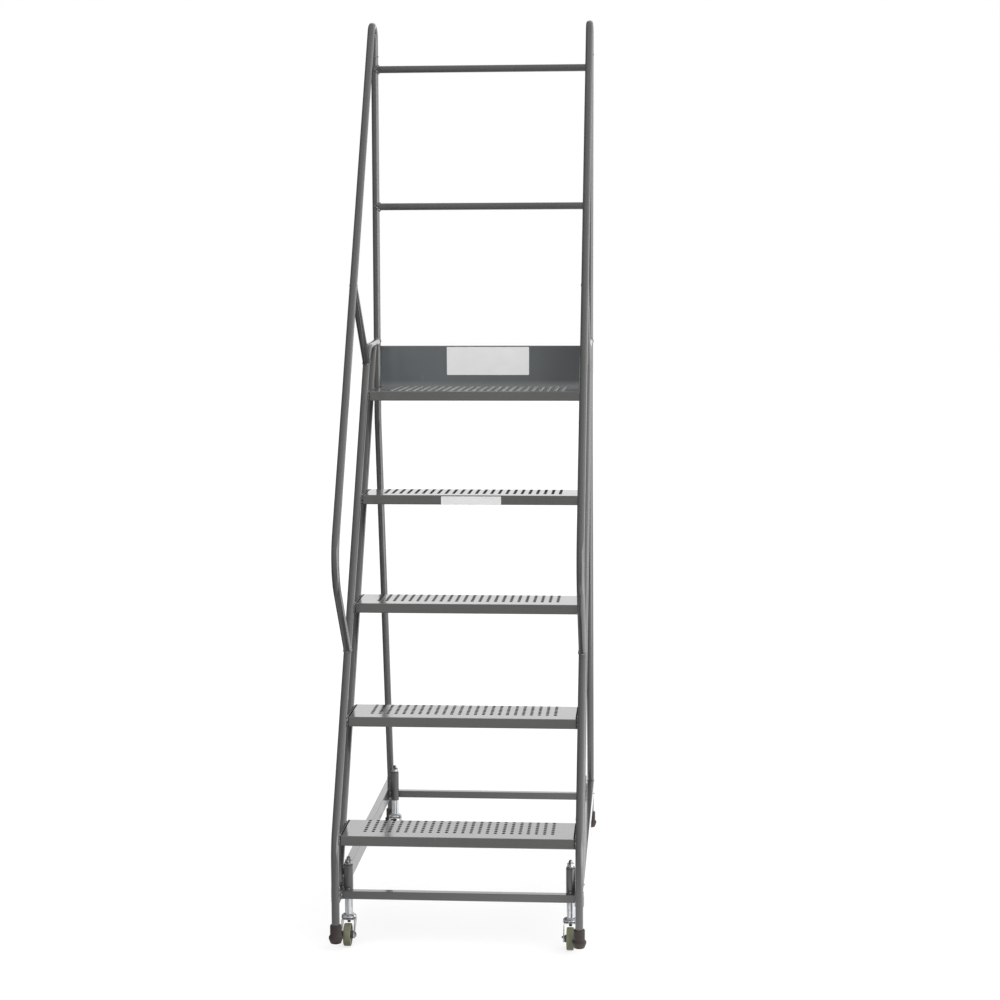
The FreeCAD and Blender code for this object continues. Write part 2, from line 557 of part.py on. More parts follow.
for corner, x, y, foot_x, foot_y in corners:
    # Rubber foot pushed over the tube end.
    foot = new_body("foot_" + corner, foot_x, foot_y, "Dims.foot_bottom")
    section = new_sketch(foot, "XZ_Plane")
    socket = cope_r
    add_polygon(section, [
        ("0", "0"), ("Dims.foot_base / 2", "0"),
        ("Dims.foot_lip / 2", "Dims.foot_tall * 0.27"),
        ("Dims.foot_lip / 2", "Dims.foot_tall * 0.34"),
        ("Dims.foot_dia / 2", "Dims.foot_tall * 0.45"),
        ("Dims.foot_dia / 2", "Dims.foot_tall * 0.96"),
        ("Dims.foot_dia / 2 - Dims.foot_tall * 0.04", "Dims.foot_tall"),
        (socket, "Dims.foot_tall"), (socket, "Dims.foot_sole"), ("0", "Dims.foot_sole")])
    revolve(foot, section)
    nodes.append(foot)

    # Sleeve: open below, capped above with a hole for the rod.
    sleeve = new_body("castor_sleeve_" + corner, x, y)
    section = new_sketch(sleeve, "XZ_Plane")
    bore = "Dims.sleeve_bore / 2"
    hole = "(Dims.rod_dia / 2 + Dims.fit_gap)"
    add_polygon(section, [
        (bore, "Dims.sleeve_low"), ("Dims.sleeve_dia / 2", "Dims.sleeve_low"),
        ("Dims.sleeve_dia / 2", "Dims.sleeve_high"), (hole, "Dims.sleeve_high"),
        (hole, cap_low), (bore, cap_low)])
    revolve(sleeve, section)
    nodes.append(sleeve)

    # Stem: kingpin, upper race, sliding plunger and threaded rod in one turned piece.
    stem = new_body("castor_stem_" + corner, x, y)
    section = new_sketch(stem, "XZ_Plane")
    pin_r = "Dims.pin_dia / 2"
    head_top = "(Dims.crown_low - Dims.face_gap)"
    head_low = "(" + head_top + " - Dims.head_thick)"
    race_r = "(Dims.race_dia / 2 - Dims.face_gap * 4)"
    race_low = "(Dims.race_split + Dims.face_gap)"
    add_polygon(section, [
        ("0", head_low + " - Dims.pin_end"), (pin_r, head_low + " - Dims.pin_end"),
        (pin_r, head_low), ("Dims.pin_head / 2 - 3", head_low), ("Dims.pin_head / 2", head_top),
        (pin_r, head_top), (pin_r, race_low), (race_r, race_low),
        (race_r, race_low + " + 3"), (plunge_r + " + 3", "Dims.stem_low"),
        (plunge_r, "Dims.stem_low"), (plunge_r, "Dims.stem_high"),
        ("Dims.rod_dia / 2", "Dims.stem_high"), ("Dims.rod_dia / 2", "Dims.rod_high - 1.5"),
        ("Dims.rod_dia / 2 - 1.5", "Dims.rod_high"), ("0", "Dims.rod_high")])
    revolve(stem, section)
    nodes.append(stem)

    # Washer and nut that stop the stem from dropping out of the sleeve.
    nut = new_body("castor_nut_" + corner, x, y, "Dims.sleeve_high")
    section = new_sketch(nut, "XY_Plane")
    add_circle(section, "Dims.washer_dia / 2")
    add_circle(section, "Dims.rod_dia / 2 + Dims.fit_gap")
    pad(nut, section, "Dims.washer_thick")
    section = new_sketch(nut, "XY_Plane", offset=("0", "0", "Dims.washer_thick"))
    reach = "Dims.nut_flats / 2 / cos(30 deg)"
    flat = "Dims.nut_flats / 2"
    add_polygon(section, [(reach, "0"), (reach + " / 2", flat), ("-(" + reach + ") / 2", flat),
                          ("-(" + reach + ")", "0"), ("-(" + reach + ") / 2", "-" + flat),
                          (reach + " / 2", "-" + flat)])
    add_circle(section, "Dims.rod_dia / 2 + Dims.fit_gap")
    pad(nut, section, "Dims.nut_tall")
    nodes.append(nut)

    # Spring between the top of the stem and the sleeve's cap.
    spring = doc.addObject("Part::Feature", "castor_spring_" + corner)
    spring.Label = "castor_spring_" + corner
    spring.Shape = coil_shape()
    for axis, text in (("x", x), ("y", y), ("z", "Dims.stem_high")):
        spring.setExpression("Placement.Base." + axis, text)
    nodes.append(spring)

    # Fork: crown, two legs raked forward to the axle, and the lower race.
    fork = new_body("castor_fork_" + corner, x, y)
    section = new_sketch(fork, "YZ_Plane")
    crown_top = "(Dims.crown_low + Dims.crown_thick)"
    axle_z = "Dims.wheel_dia / 2"
    around = "Dims.fork_round"
    add_polygon(section, [
        ("Dims.crown_reach", crown_top), ("-Dims.crown_reach", crown_top),
        ("-Dims.crown_reach - 3", "Dims.crown_low - 4"),
        ("-Dims.trail - " + around, axle_z + " + " + around + " / 2"),
        ("-Dims.trail - " + around, axle_z + " - " + around + " / 2"),
        ("-Dims.trail - " + around + " / 2", axle_z + " - " + around),
        ("-Dims.trail + " + around + " / 2", axle_z + " - " + around),
        ("-Dims.trail + " + around, axle_z + " - " + around + " / 2"),
        ("Dims.crown_reach", "Dims.crown_low - 4")])
    block = pad(fork, section, "Dims.fork_wide", midplane=True)
    doc.recompute()
    bends = ["Edge%d" % i for i, edge in enumerate(block.Shape.Edges, start=1)
             if abs(edge.BoundBox.ZMin - number(crown_top)) < 0.01 and edge.BoundBox.YLength > 1]
    rounding = fork.newObject("PartDesign::Fillet", "castor_fork_" + corner + "_bend")
    rounding.Base = (block, bends)
    rounding.setExpression("Radius", "Dims.crown_bend")
    inside = new_sketch(fork, "XZ_Plane")
    gap = "(Dims.fork_wide / 2 - Dims.fork_plate)"
    add_polygon(inside, [("-" + gap, "0"), (gap, "0"), (gap, "Dims.crown_low"),
                         ("-" + gap, "Dims.crown_low")])
    pocket(fork, inside, "Dims.fork_wide * 4")
    race = new_sketch(fork, "XY_Plane", offset=("0", "0", crown_top))
    add_circle(race, "Dims.race_dia / 2")
    pad(fork, race, "Dims.race_split - " + crown_top)
    bore = new_sketch(fork, "XY_Plane", offset=("0", "0", "Dims.crown_low"))
    add_circle(bore, pin_bore)
    pocket(fork, bore, "Dims.fork_wide")
    bore = new_sketch(fork, "YZ_Plane")
    add_circle(bore, pin_bore, "-Dims.trail", axle_z)
    pocket(fork, bore, "Dims.fork_wide * 2")
    nodes.append(fork)

    # Axle bolt across the fork, with its head and nut.
    axle = new_body("castor_axle_" + corner, x, y + " - Dims.trail", axle_z)
    section = new_sketch(axle, "YZ_Plane")
    add_circle(section, "Dims.pin_dia / 2")
    pad(axle, section, "Dims.fork_wide + Dims.axle_head * 2", midplane=True)
    reach = "Dims.axle_flats / 2 / cos(30 deg)"
    flat = "Dims.axle_flats / 2"
    for sign, away in (("", False), ("-", True)):
        section = new_sketch(axle, "YZ_Plane", offset=("0", "0", sign + "Dims.fork_wide / 2"))
        add_polygon(section, [
            (reach, "0"), (reach + " / 2", flat), ("-(" + reach + ") / 2", flat),
            ("-(" + reach + ")", "0"), ("-(" + reach + ") / 2", "-" + flat),
            (reach + " / 2", "-" + flat)])
        pad(axle, section, "Dims.axle_head", reverse=away)
    nodes.append(axle)

    # Wheel: rounded tread, dished web and a hub reaching close to the fork legs.
    wheel = new_body("castor_wheel_" + corner, x, y + " - Dims.trail", axle_z)
    section = new_sketch(wheel, "XZ_Plane")
    hub = "(" + gap + " - Dims.face_gap)"
    rim = "Dims.wheel_wide / 2"
    outer = "Dims.wheel_dia / 2"
    half = [(hub, pin_bore), (hub, "Dims.hub_dia / 2 - 1"), (rim + " - 2", "Dims.hub_dia / 2"),
            (rim + " - 2", outer + " - 7"), (rim, outer + " - 5.5"), (rim, outer + " - 2"),
            (rim + " - 2", outer)]
    add_polygon(section, half + [("-(" + a + ")", b) for a, b in reversed(half)])
    revolve(wheel, section, "H_Axis")
    nodes.append(wheel)

doc.recompute()
for item in doc.Objects:
    for state in item.State:
        if state in ("Invalid", "Error"):
            raise ValueError(item.Label + " is " + state)

os.makedirs("parts", exist_ok=True)
for node in nodes:
    shape = node.Shape
    if shape.isNull() or not shape.isValid() or not shape.Solids:
        raise ValueError(node.Label + " has no sound solid")
    shape.exportStep("parts/" + node.Label + ".step")
print(len(nodes), "sub-parts written")
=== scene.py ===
import json
import math
import random

import bmesh
import bpy
from mathutils import Matrix, Vector


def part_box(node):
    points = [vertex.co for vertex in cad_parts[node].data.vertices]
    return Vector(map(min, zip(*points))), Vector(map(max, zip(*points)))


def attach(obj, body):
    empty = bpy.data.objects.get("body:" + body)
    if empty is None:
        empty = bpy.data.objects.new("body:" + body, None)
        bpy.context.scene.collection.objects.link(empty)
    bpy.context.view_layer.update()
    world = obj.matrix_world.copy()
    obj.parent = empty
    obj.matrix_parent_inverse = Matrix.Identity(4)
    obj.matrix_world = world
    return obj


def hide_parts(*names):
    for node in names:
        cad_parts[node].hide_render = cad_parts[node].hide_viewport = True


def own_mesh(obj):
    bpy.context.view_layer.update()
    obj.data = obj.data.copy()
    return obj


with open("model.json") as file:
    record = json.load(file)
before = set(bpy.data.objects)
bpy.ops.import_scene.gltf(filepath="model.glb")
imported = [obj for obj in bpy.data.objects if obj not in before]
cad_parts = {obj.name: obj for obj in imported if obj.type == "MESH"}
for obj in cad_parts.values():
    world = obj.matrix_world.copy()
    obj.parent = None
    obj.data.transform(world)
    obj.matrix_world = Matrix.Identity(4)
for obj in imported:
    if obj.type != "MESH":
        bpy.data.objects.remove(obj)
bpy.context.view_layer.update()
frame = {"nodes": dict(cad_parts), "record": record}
nodes = frame["nodes"]
corners = ("front_left", "front_right", "rear_left", "rear_right")
print("frame loaded:", len(nodes), "nodes")


def operator(operation, flipped=False):
    def apply(self, other):
        terms = {0: other, 1: self} if flipped else {0: self, 1: other}
        return self.paint.node("Math", {"operation": operation}, terms)
    return apply


class Value:
    # a shader socket; a sum written on it adds its Math nodes
    def __init__(self, paint, socket):
        self.paint = paint
        self.socket = socket

    __add__, __radd__ = operator("ADD"), operator("ADD", True)
    __sub__, __rsub__ = operator("SUBTRACT"), operator("SUBTRACT", True)
    __mul__, __rmul__ = operator("MULTIPLY"), operator("MULTIPLY", True)


class Paint:
    # a material, or the world, written node by node
    def __init__(self, name, tree=None):
        if tree is None:
            self.material = bpy.data.materials.new(name)
            self.material.use_nodes = True
            tree = self.material.node_tree
        self.tree = tree
        self.tree.nodes.clear()

    def node(self, kind, settings, sockets, out=0):
        made = self.tree.nodes.new("ShaderNode" + kind)
        for key, value in settings.items():
            setattr(made, key, value)
        for key, value in sockets.items():
            if isinstance(value, Value):
                self.tree.links.new(value.socket, made.inputs[key])
            else:
                made.inputs[key].default_value = value
        return Value(self, made.outputs[out]) if made.outputs else None

    def place(self):
        return self.node("TexCoord", {}, {}, "Object")

    def part(self, vector, axis):
        return self.node("SeparateXYZ", {}, {"Vector": vector}, axis)

    def noise(self, place, scale, detail=2.0, rough=0.5, stretch=None):
        if stretch:
            place = self.node("Mapping", {}, {"Vector": place, "Scale": stretch})
        return self.node("TexNoise", {}, {"Vector": place, "Scale": scale, "Detail": detail,
                                          "Roughness": rough})

    def ramp(self, value, low, high):
        return self.node("MapRange", {"interpolation_type": "SMOOTHSTEP"},
                         {"Value": value, "From Min": low, "From Max": high})

    def blend(self, share, first, second):
        return self.node("Mix", {"data_type": "RGBA"}, {0: share, 6: first, 7: second}, 2)

    def bump(self, height, distance, strength=1.0, under=None):
        sockets = {"Height": height, "Distance": distance, "Strength": strength}
        if under:
            sockets["Normal"] = under
        return self.node("Bump", {}, sockets)

    def surface(self, sockets):
        self.node("OutputMaterial", {}, {"Surface": self.node("BsdfPrincipled", {}, sockets)})
        return self.material


def tone(red, green, blue):
    # a finish's colour, from the 0 to 255 numbers on a paint card
    line = [((c / 255 + 0.055) / 1.055) ** 2.4 if c > 10 else c / 3294 for c in (red, green, blue)]
    return (*line, 1)


# finishes: a size counts the features of a pattern to a metre, and edges are where a mask starts
# and where it is full
enamelLook = {"dark": tone(75, 75, 75), "light": tone(87, 87, 86), "scuffed": tone(108, 109, 106),
              "cloudSize": 7, "nibSize": 700, "scuffSize": 60, "scuffEdges": (0.66, 0.76),
              "peelSize": 260, "peel": 0.00003, "waveSize": 9, "wave": 0, "coat": 0.06}
# sheets: their tops paler with painted top light and wear
sheetTint = {"dark": tone(83, 83, 81), "light": tone(95, 95, 93), "litAndWornTop": tone(103, 103, 104),
             "wave": 0.0012, "coat": 0.09}
platformTint = {**sheetTint, "dark": tone(86, 86, 84), "light": tone(99, 99, 97),
                "litAndWornTop": tone(116, 116, 116)}
# the toe board: painted shade towards its right end, and painted bounce light along its foot
toeTint = {"dark": tone(89, 93, 95), "light": tone(103, 107, 109), "paintedShadeBands": tone(68, 71, 73),
           "shadeEdges": (0.12, 0.42), "scuffAndBounceLight": tone(122, 125, 127), "bounceLightHigh": 0.022,
           "wave": 0.0016, "coat": 0.09}
# painted highlight: the platform's hole rims are pale, where light catches them
rimHighlightTint = {"dark": tone(112, 112, 110), "light": tone(200, 199, 195)}
# painted glints on the welds
weldTint = {"paintedGlint": tone(205, 207, 208), "glintSize": 330, "glintEdges": (0.56, 0.65)}


def enamel(name, tint=None):
    look = {**enamelLook, **(tint or {})}
    paint = Paint(name)
    place = paint.place()
    cloud = paint.noise(place, look["cloudSize"], 3)
    nibs = paint.noise(place, look["nibSize"], 2, 0.7)
    scuff = paint.noise(place, look["scuffSize"], 5, 0.65, (1, 1, 0.16))
    scuffAndBounceLight = paint.ramp(scuff, *look["scuffEdges"])
    colour = paint.blend(cloud * 0.75 + nibs * 0.25, look["dark"], look["light"])
    colour = paint.blend(scuffAndBounceLight * 0.3, colour, look["scuffed"])
    if "paintedShadeBands" in look:
        # painted shade: the board is darker towards its right end, in uneven bands
        band = paint.noise(place, 5, 1, 0.5, (1, 1, 0.5))
        across = paint.ramp(paint.part(place, "X") + band * 0.3, *look["shadeEdges"])
        colour = paint.blend(across * 0.9, colour, look["paintedShadeBands"])
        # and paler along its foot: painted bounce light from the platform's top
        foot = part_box("platform")[1].z
        height = paint.part(place, "Z") + band * 0.006
        colour = paint.blend(paint.ramp(height, foot + look["bounceLightHigh"], foot), colour,
                             look["scuffAndBounceLight"])
    if "paintedGlint" in look:
        # painted glints: the welds show pale specks
        glintMask = paint.ramp(paint.noise(place, look["glintSize"], 2, 0.6), *look["glintEdges"])
        colour = paint.blend(glintMask * 0.9, colour, look["paintedGlint"])
    if "litAndWornTop" in look:
        # painted light and wear: the tops are paler, as lit from above and dulled by shoes
        facing = paint.part(paint.node("NewGeometry", {}, {}, "Normal"), "Z")
        litAndWornTop = paint.ramp(facing, 0.7, 0.95) * (cloud * 0.4 + 0.8)
        colour = paint.blend(litAndWornTop, colour, look["litAndWornTop"])
    normal = paint.bump(paint.noise(place, look["peelSize"], 2), look["peel"], 0.6)
    if look["wave"]:
        normal = paint.bump(paint.noise(place, look["waveSize"], 2), look["wave"], 1.0, normal)
    return paint.surface({"Base Color": colour, "Normal": normal,
                          "Roughness": scuffAndBounceLight * 0.12 + cloud * 0.08 + (look["coat"] + 0.04),
                          "Coat Weight": 1.0, "Coat Roughness": look["coat"]})


zincLook = {"bright": tone(240, 243, 246), "dull": tone(132, 136, 140), "warm": tone(222, 219, 210),
            "metal": 0.85, "cloudSize": 90, "brushSize": 190, "brushEdges": (0.4, 0.6),
            "warmSize": 55, "warmEdges": (0.5, 0.75), "grain": 0.00002}
nutTint = {"bright": tone(210, 212, 214), "dull": tone(70, 72, 74)}
pressedTint = {"metal": 0.6}


def zincPlate(name, stretch, rough, tint=None):
    look = {**zincLook, **(tint or {})}
    paint = Paint(name)
    place = paint.place()
    cloud = paint.noise(place, look["cloudSize"], 3)
    brushed = paint.noise(place, look["brushSize"], 3, 0.6, stretch)
    # brushing and painted reflection: dull and bright streaks along the brushing, standing in part
    # for streaked reflections
    brushingAndReflection = paint.ramp(cloud * 0.15 + brushed * 0.85, *look["brushEdges"])
    colour = paint.blend(brushingAndReflection, look["dull"], look["bright"])
    warmth = paint.ramp(paint.noise(place, look["warmSize"], 2), *look["warmEdges"])
    return paint.surface({"Base Color": paint.blend(warmth * 0.3, colour, look["warm"]),
                          "Metallic": look["metal"],
                          "Roughness": cloud * 0.1 + brushed * 0.08 + (rough - 0.08),
                          "Normal": paint.bump(brushed, look["grain"], 0.4)})


# mottled finishes: cloud and grain are a noise's size, detail and roughness, bump is a depth and a
# strength, and rough is how far the cloud moves the roughness, and from where
# painted shade: a near-black finish for the hole walls, the treads' hole rims, the end seams and
# the sleeve caps, where shade falls
darkShadeLook = {"dark": tone(26, 26, 26), "light": tone(44, 44, 43), "cloud": (300, 3),
            "rough": (0.2, 0.5), "bump": (0.00003, 0.5)}
# painted shade: the kingpin is near black, for the shade under the fork's crown
kingpinLook = {"dark": tone(38, 38, 39), "light": tone(70, 70, 70), "cloud": (160, 4, 0.6),
               "rough": (0.25, 0.25), "bump": (0.00006, 0.5)}
hubLook = {**kingpinLook, "dark": tone(58, 58, 60), "light": tone(80, 80, 80)}
rubberLook = {"dark": tone(44, 37, 35), "light": tone(64, 54, 51), "cloud": (60, 4, 0.6),
              "dust": tone(126, 116, 106), "dustHigh": (0.02, 0.036), "dustEdges": (0.35, 0.7),
              "grain": (900, 3, 0.7), "rough": (0.2, 0.42), "bump": (0.00012, 0.5)}
wheelLook = {"dark": tone(103, 104, 80), "light": tone(127, 128, 103), "cloud": (70, 4, 0.6),
             "streak": tone(88, 88, 71), "streakSize": 160, "streakEdges": (0.55, 0.75),
             "grain": (1100, 2, 0.7), "rough": (0.18, 0.38), "bump": (0.0001, 0.5)}
vinylLook = {"dark": tone(226, 227, 228), "light": tone(238, 238, 236), "cloud": (30, 3),
             "grain": (45, 2, 0.5, (1, 1, 0.6)), "rough": (0.12, 0.28), "bump": (0.0002, 0.35)}


def mottled(name, look):
    paint = Paint(name)
    place = paint.place()
    cloud = paint.noise(place, *look["cloud"])
    colour = paint.blend(cloud, look["dark"], look["light"])
    height = paint.noise(place, *look["grain"]) if "grain" in look else cloud
    if "dust" in look:
        low = 1 - paint.ramp(paint.part(place, "Z"), *look["dustHigh"])
        dusty = low * paint.ramp(cloud, *look["dustEdges"])
        colour = paint.blend(dusty * 0.45, colour, look["dust"])
    if "streak" in look:
        streak = paint.noise(place, look["streakSize"], 3, 0.6, (1, 0.2, 0.2))
        streak = paint.ramp(streak, *look["streakEdges"])
        colour = paint.blend(streak * 0.35, colour, look["streak"])
        height = height + cloud
    spread, least = look["rough"]
    return paint.surface({"Base Color": colour, "Roughness": cloud * spread + least,
                          "Normal": paint.bump(height, *look["bump"])})


tubePaint = enamel("grey_enamel_tube")
sheetPaint = enamel("grey_enamel_sheet", sheetTint)
platformPaint = enamel("grey_enamel_platform", platformTint)
# painted highlight on the platform's hole rims
rimHighlightPaint = enamel("grey_enamel_painted_rim_highlight", rimHighlightTint)
toePaint = enamel("grey_enamel_toe_board", toeTint)
weldPaint = enamel("grey_enamel_weld", weldTint)
# painted shade in holes, seams and caps
paintedShadeDark = mottled("painted_shade_dark", darkShadeLook)
zinc = zincPlate("zinc_plate", (1, 1, 0.02), 0.14)
zincAcross = zincPlate("zinc_plate_pressed", (1, 0.3, 1), 0.16, pressedTint)
raceZinc = zincPlate("zinc_plate_race", (1, 1, 0.3), 0.14, pressedTint)
nutZinc = zincPlate("zinc_plate_nut", (1, 1, 1), 0.2, nutTint)
springWire = zincPlate("spring_wire", (1, 1, 1), 0.22)
kingpinSteel = mottled("dark_kingpin", kingpinLook)
hubMoulding = mottled("dark_hub", hubLook)
rubber = mottled("foot_rubber", rubberLook)
wheelPaint = mottled("olive_wheel", wheelLook)
vinyl = mottled("blank_label", vinylLook)
slotPaints = {"tube_paint": tubePaint, "sheet_paint": sheetPaint, "zinc": zinc,
              "spring_steel": springWire, "foot_rubber": rubber, "wheel": wheelPaint}
for name, thing in nodes.items():
    row = next(r for r in frame["record"]["subparts"] if r["node"] == name)
    for place in thing.material_slots:
        place.material = slotPaints[row["material_slot"]]
print("finishes mixed")


def rounded(outline, radius, steps=4, hold=0.0004):
    # an outline with its corners turned into arcs, each held by a point on either side
    radii = radius if isinstance(radius, (list, tuple)) else [radius] * len(outline)
    made = []
    for i, corner in enumerate(outline):
        here = Vector(corner)
        back = Vector(outline[i - 1]) - here
        on = Vector(outline[(i + 1) % len(outline)]) - here
        backwards, onwards = back.normalized(), on.normalized()
        turn = math.pi - back.angle(on)
        if radii[i] <= 0 or turn < 0.01:
            made.append(tuple(here))
            continue
        reach = min(radii[i] * math.tan(turn / 2), back.length * 0.48, on.length * 0.48)
        size = reach / math.tan(turn / 2)
        centre = here + (backwards + onwards).normalized() * (size / math.cos(turn / 2))
        start, end = here + backwards * reach, here + onwards * reach
        if back.length > 2 * reach + hold:
            made.append(tuple(start + backwards * hold))
        first = start - centre
        swing = first.angle_signed(end - centre)
        for k in range(steps + 1):
            angle = -swing * k / steps
            c, s = math.cos(angle), math.sin(angle)
            made.append((centre.x + first.x * c - first.y * s,
                         centre.y + first.x * s + first.y * c))
        if on.length > 2 * reach + hold:
            made.append(tuple(end + onwards * hold))
    return made


def skin(bm, first, second, closed=True):
    # joins two rows of points with faces
    count = len(first)
    return [bm.faces.new((first[k], first[(k + 1) % count], second[(k + 1) % count], second[k]))
            for k in range(count if closed else count - 1)]


def about(centre, axis, angle, radius, height):
    # a place at an angle, radius and height about an axis through centre
    a, b = radius * math.cos(angle), radius * math.sin(angle)
    return Vector((height, a, b) if axis == "X" else (a, b, height)) + Vector(centre)


def lathe(bm, outline, centre, axis="Z", sides=40, ripple=None):
    # turns a closed (radius, height) outline about an axis through centre
    rings = []
    for radius, height in outline:
        ring = []
        for k in range(sides if radius > 1e-6 else 1):
            angle = 2 * math.pi * k / sides
            reach = radius + (ripple(angle, height) if ripple else 0)
            ring.append(bm.verts.new(about(centre, axis, angle, reach, height)))
        rings.append(ring)
    for ring, other in zip(rings, rings[1:] + rings[:1]):
        if len(ring) == 1 and len(other) == 1:
            continue
        for k in range(sides):
            face = [ring[k % len(ring)], ring[(k + 1) % len(ring)],
                    other[(k + 1) % len(other)], other[k % len(other)]]
            bm.faces.new(list(dict.fromkeys(face)))


def prism(bm, outline, spots, closed=True, caps=True):
    # the same outline at each spot along a bar, joined up
    rings = [[bm.verts.new(spot(u, v)) for u, v in outline] for spot in spots]
    for first, second in zip(rings, rings[1:]):
        skin(bm, first, second, closed)
    if caps:
        bm.faces.new(rings[0])
        bm.faces.new(list(reversed(rings[-1])))
    return rings


def sweep(bm, path, radii, sides=6, closed=True):
    # a round rod along a path, with a radius for each of its points
    count = len(path)
    rings = []
    side = None
    for i, here in enumerate(path):
        after = path[(i + 1) % count] if closed or i < count - 1 else here
        before = path[i - 1] if closed or i > 0 else here
        along = (after - before).normalized()
        if side is None:
            side = along.orthogonal().normalized()
        side = (side - along * side.dot(along)).normalized()
        up = along.cross(side)
        rings.append([bm.verts.new(here + (side * math.cos(a) + up * math.sin(a)) * radii[i])
                      for a in (2 * math.pi * k / sides for k in range(sides))])
    for i in range(count if closed else count - 1):
        first, second = rings[i], rings[(i + 1) % count]
        if i == count - 1:
            shift = min(range(sides), key=lambda s: (second[s].co - first[0].co).length)
            second = second[shift:] + second[:shift]
        skin(bm, first, second)
    if not closed:
        bm.faces.new(list(reversed(rings[0])))
        bm.faces.new(rings[-1])


def piece(name, bm, paint, body, stands=(), crease=34, others=()):
    # finishes a mesh as a piece that rides on a body; faces marked 1 or 2 take the other finishes
    bmesh.ops.remove_doubles(bm, verts=bm.verts, dist=1e-6)
    bmesh.ops.recalc_face_normals(bm, faces=bm.faces)
    mesh = bpy.data.meshes.new(name)
    bm.to_mesh(mesh)
    bm.free()
    for finish in (paint, *others):
        mesh.materials.append(finish)
    for face in mesh.polygons:
        face.use_smooth = True
    mesh.set_sharp_from_angle(angle=math.radians(crease))
    made = bpy.data.objects.new(name, mesh)
    bpy.context.scene.collection.objects.link(made)
    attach(made, body)
    if stands:
        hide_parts(*stands)
    return made


def span(low, high, count):
    return [low + (high - low) * k / (count - 1) for k in range(count)]


def markFrom(bm, start):
    # the faces made since start take the second finish
    bm.faces.ensure_lookup_table()
    for face in bm.faces[start:]:
        face.material_index = 1


# treads and platform: folded trays, their tops punched with raised grip holes
sheetLook = {"sheet": 0.0015, "fold": 0.0025, "inner": 0.001, "lip": 0.009, "ease": 0.0008,
             "seam": 0.0052, "seamDeep": 0.009, "cutBack": 0.0034, "gusset": (0.003, 0.008),
             "cutCorner": 0.0004, "columns": 24, "columnPitch": 0.0194, "rowPitch": 0.016,
             "firstRow": 0.046, "lastRow": 0.0068, "hole": 0.0037, "collar": 0.003,
             "flare": 0.0006, "sides": 12, "rimWide": 0.0006, "rimHigh": 0.00045, "rimFinish": 1}
# the platform's rims take the painted highlight
platformLook = {**sheetLook, "rimHigh": 0.0006, "rimFinish": 2}


def punchedTop(bm, low, high, edge, look):
    # the flat of a tread with its rows of grip holes, each raised to a small rim
    sides, hole, thick = look["sides"], look["hole"], look["sheet"]
    px, py = look["columnPitch"], look["rowPitch"]
    rows = int((high.y - low.y - look["firstRow"] - look["lastRow"]) / py + 0.5) + 1
    middle = (low.x + high.x) / 2
    left = middle - px * look["columns"] / 2
    right = middle + px * look["columns"] / 2
    near = low.y + look["firstRow"] - py / 2
    far = near + py * rows
    reach = min(far, high.y - edge)
    front, rear = low.y + edge, high.y - edge
    for z in (high.z, high.z - thick):
        for x0, x1, y0, y1 in ((low.x + look["seam"], left, front, rear),
                               (right, high.x - look["seam"], front, rear),
                               (left, right, front, near), (left, right, far, rear)):
            if y1 - y0 > 1e-6:
                bm.faces.new([bm.verts.new((x, y, z))
                              for x, y in ((x0, y0), (x1, y0), (x1, y1), (x0, y1))])
    rim, flared = look["rimHigh"], hole + look["flare"]
    lips = ((hole + look["rimWide"], 0), (hole + 0.0004, rim), (hole, rim - 0.0001),
            (hole, -look["collar"]), (flared, -look["collar"]), (flared, -thick))
    angles = [2 * math.pi * (k + 0.5) / sides for k in range(sides)]
    diagonal = math.sin(math.pi / 4)
    for column in range(look["columns"]):
        for row in range(rows):
            x = left + px * (column + 0.5)
            y = near + py * (row + 0.5)
            square = []  # the hole's share of the sheet, cut to points that match its rim
            for a in angles:
                c, s = math.cos(a), math.sin(a)
                u, v = c * px / 2 / diagonal, s * py / 2 / diagonal
                if abs(c) > abs(s) - 0.01:
                    u = math.copysign(px / 2, c)
                if abs(s) > abs(c) - 0.01:
                    v = math.copysign(py / 2, s)
                square.append((x + u, min(y + v, reach)))
            rings = [[bm.verts.new((u, v, high.z)) for u, v in square]]
            for radius, lift in lips:
                rings.append([bm.verts.new((x + radius * math.cos(a), y + radius * math.sin(a),
                                            high.z + lift)) for a in angles])
            rings.append([bm.verts.new((u, v, high.z - thick)) for u, v in square])
            # hole walls take the painted shade; rims take it on the treads and the painted
            # highlight on the platform
            for n, (first, second) in enumerate(zip(rings, rings[1:])):
                for face in skin(bm, first, second):
                    face.material_index = 1 if n >= 3 else look["rimFinish"] if n >= 1 else 0


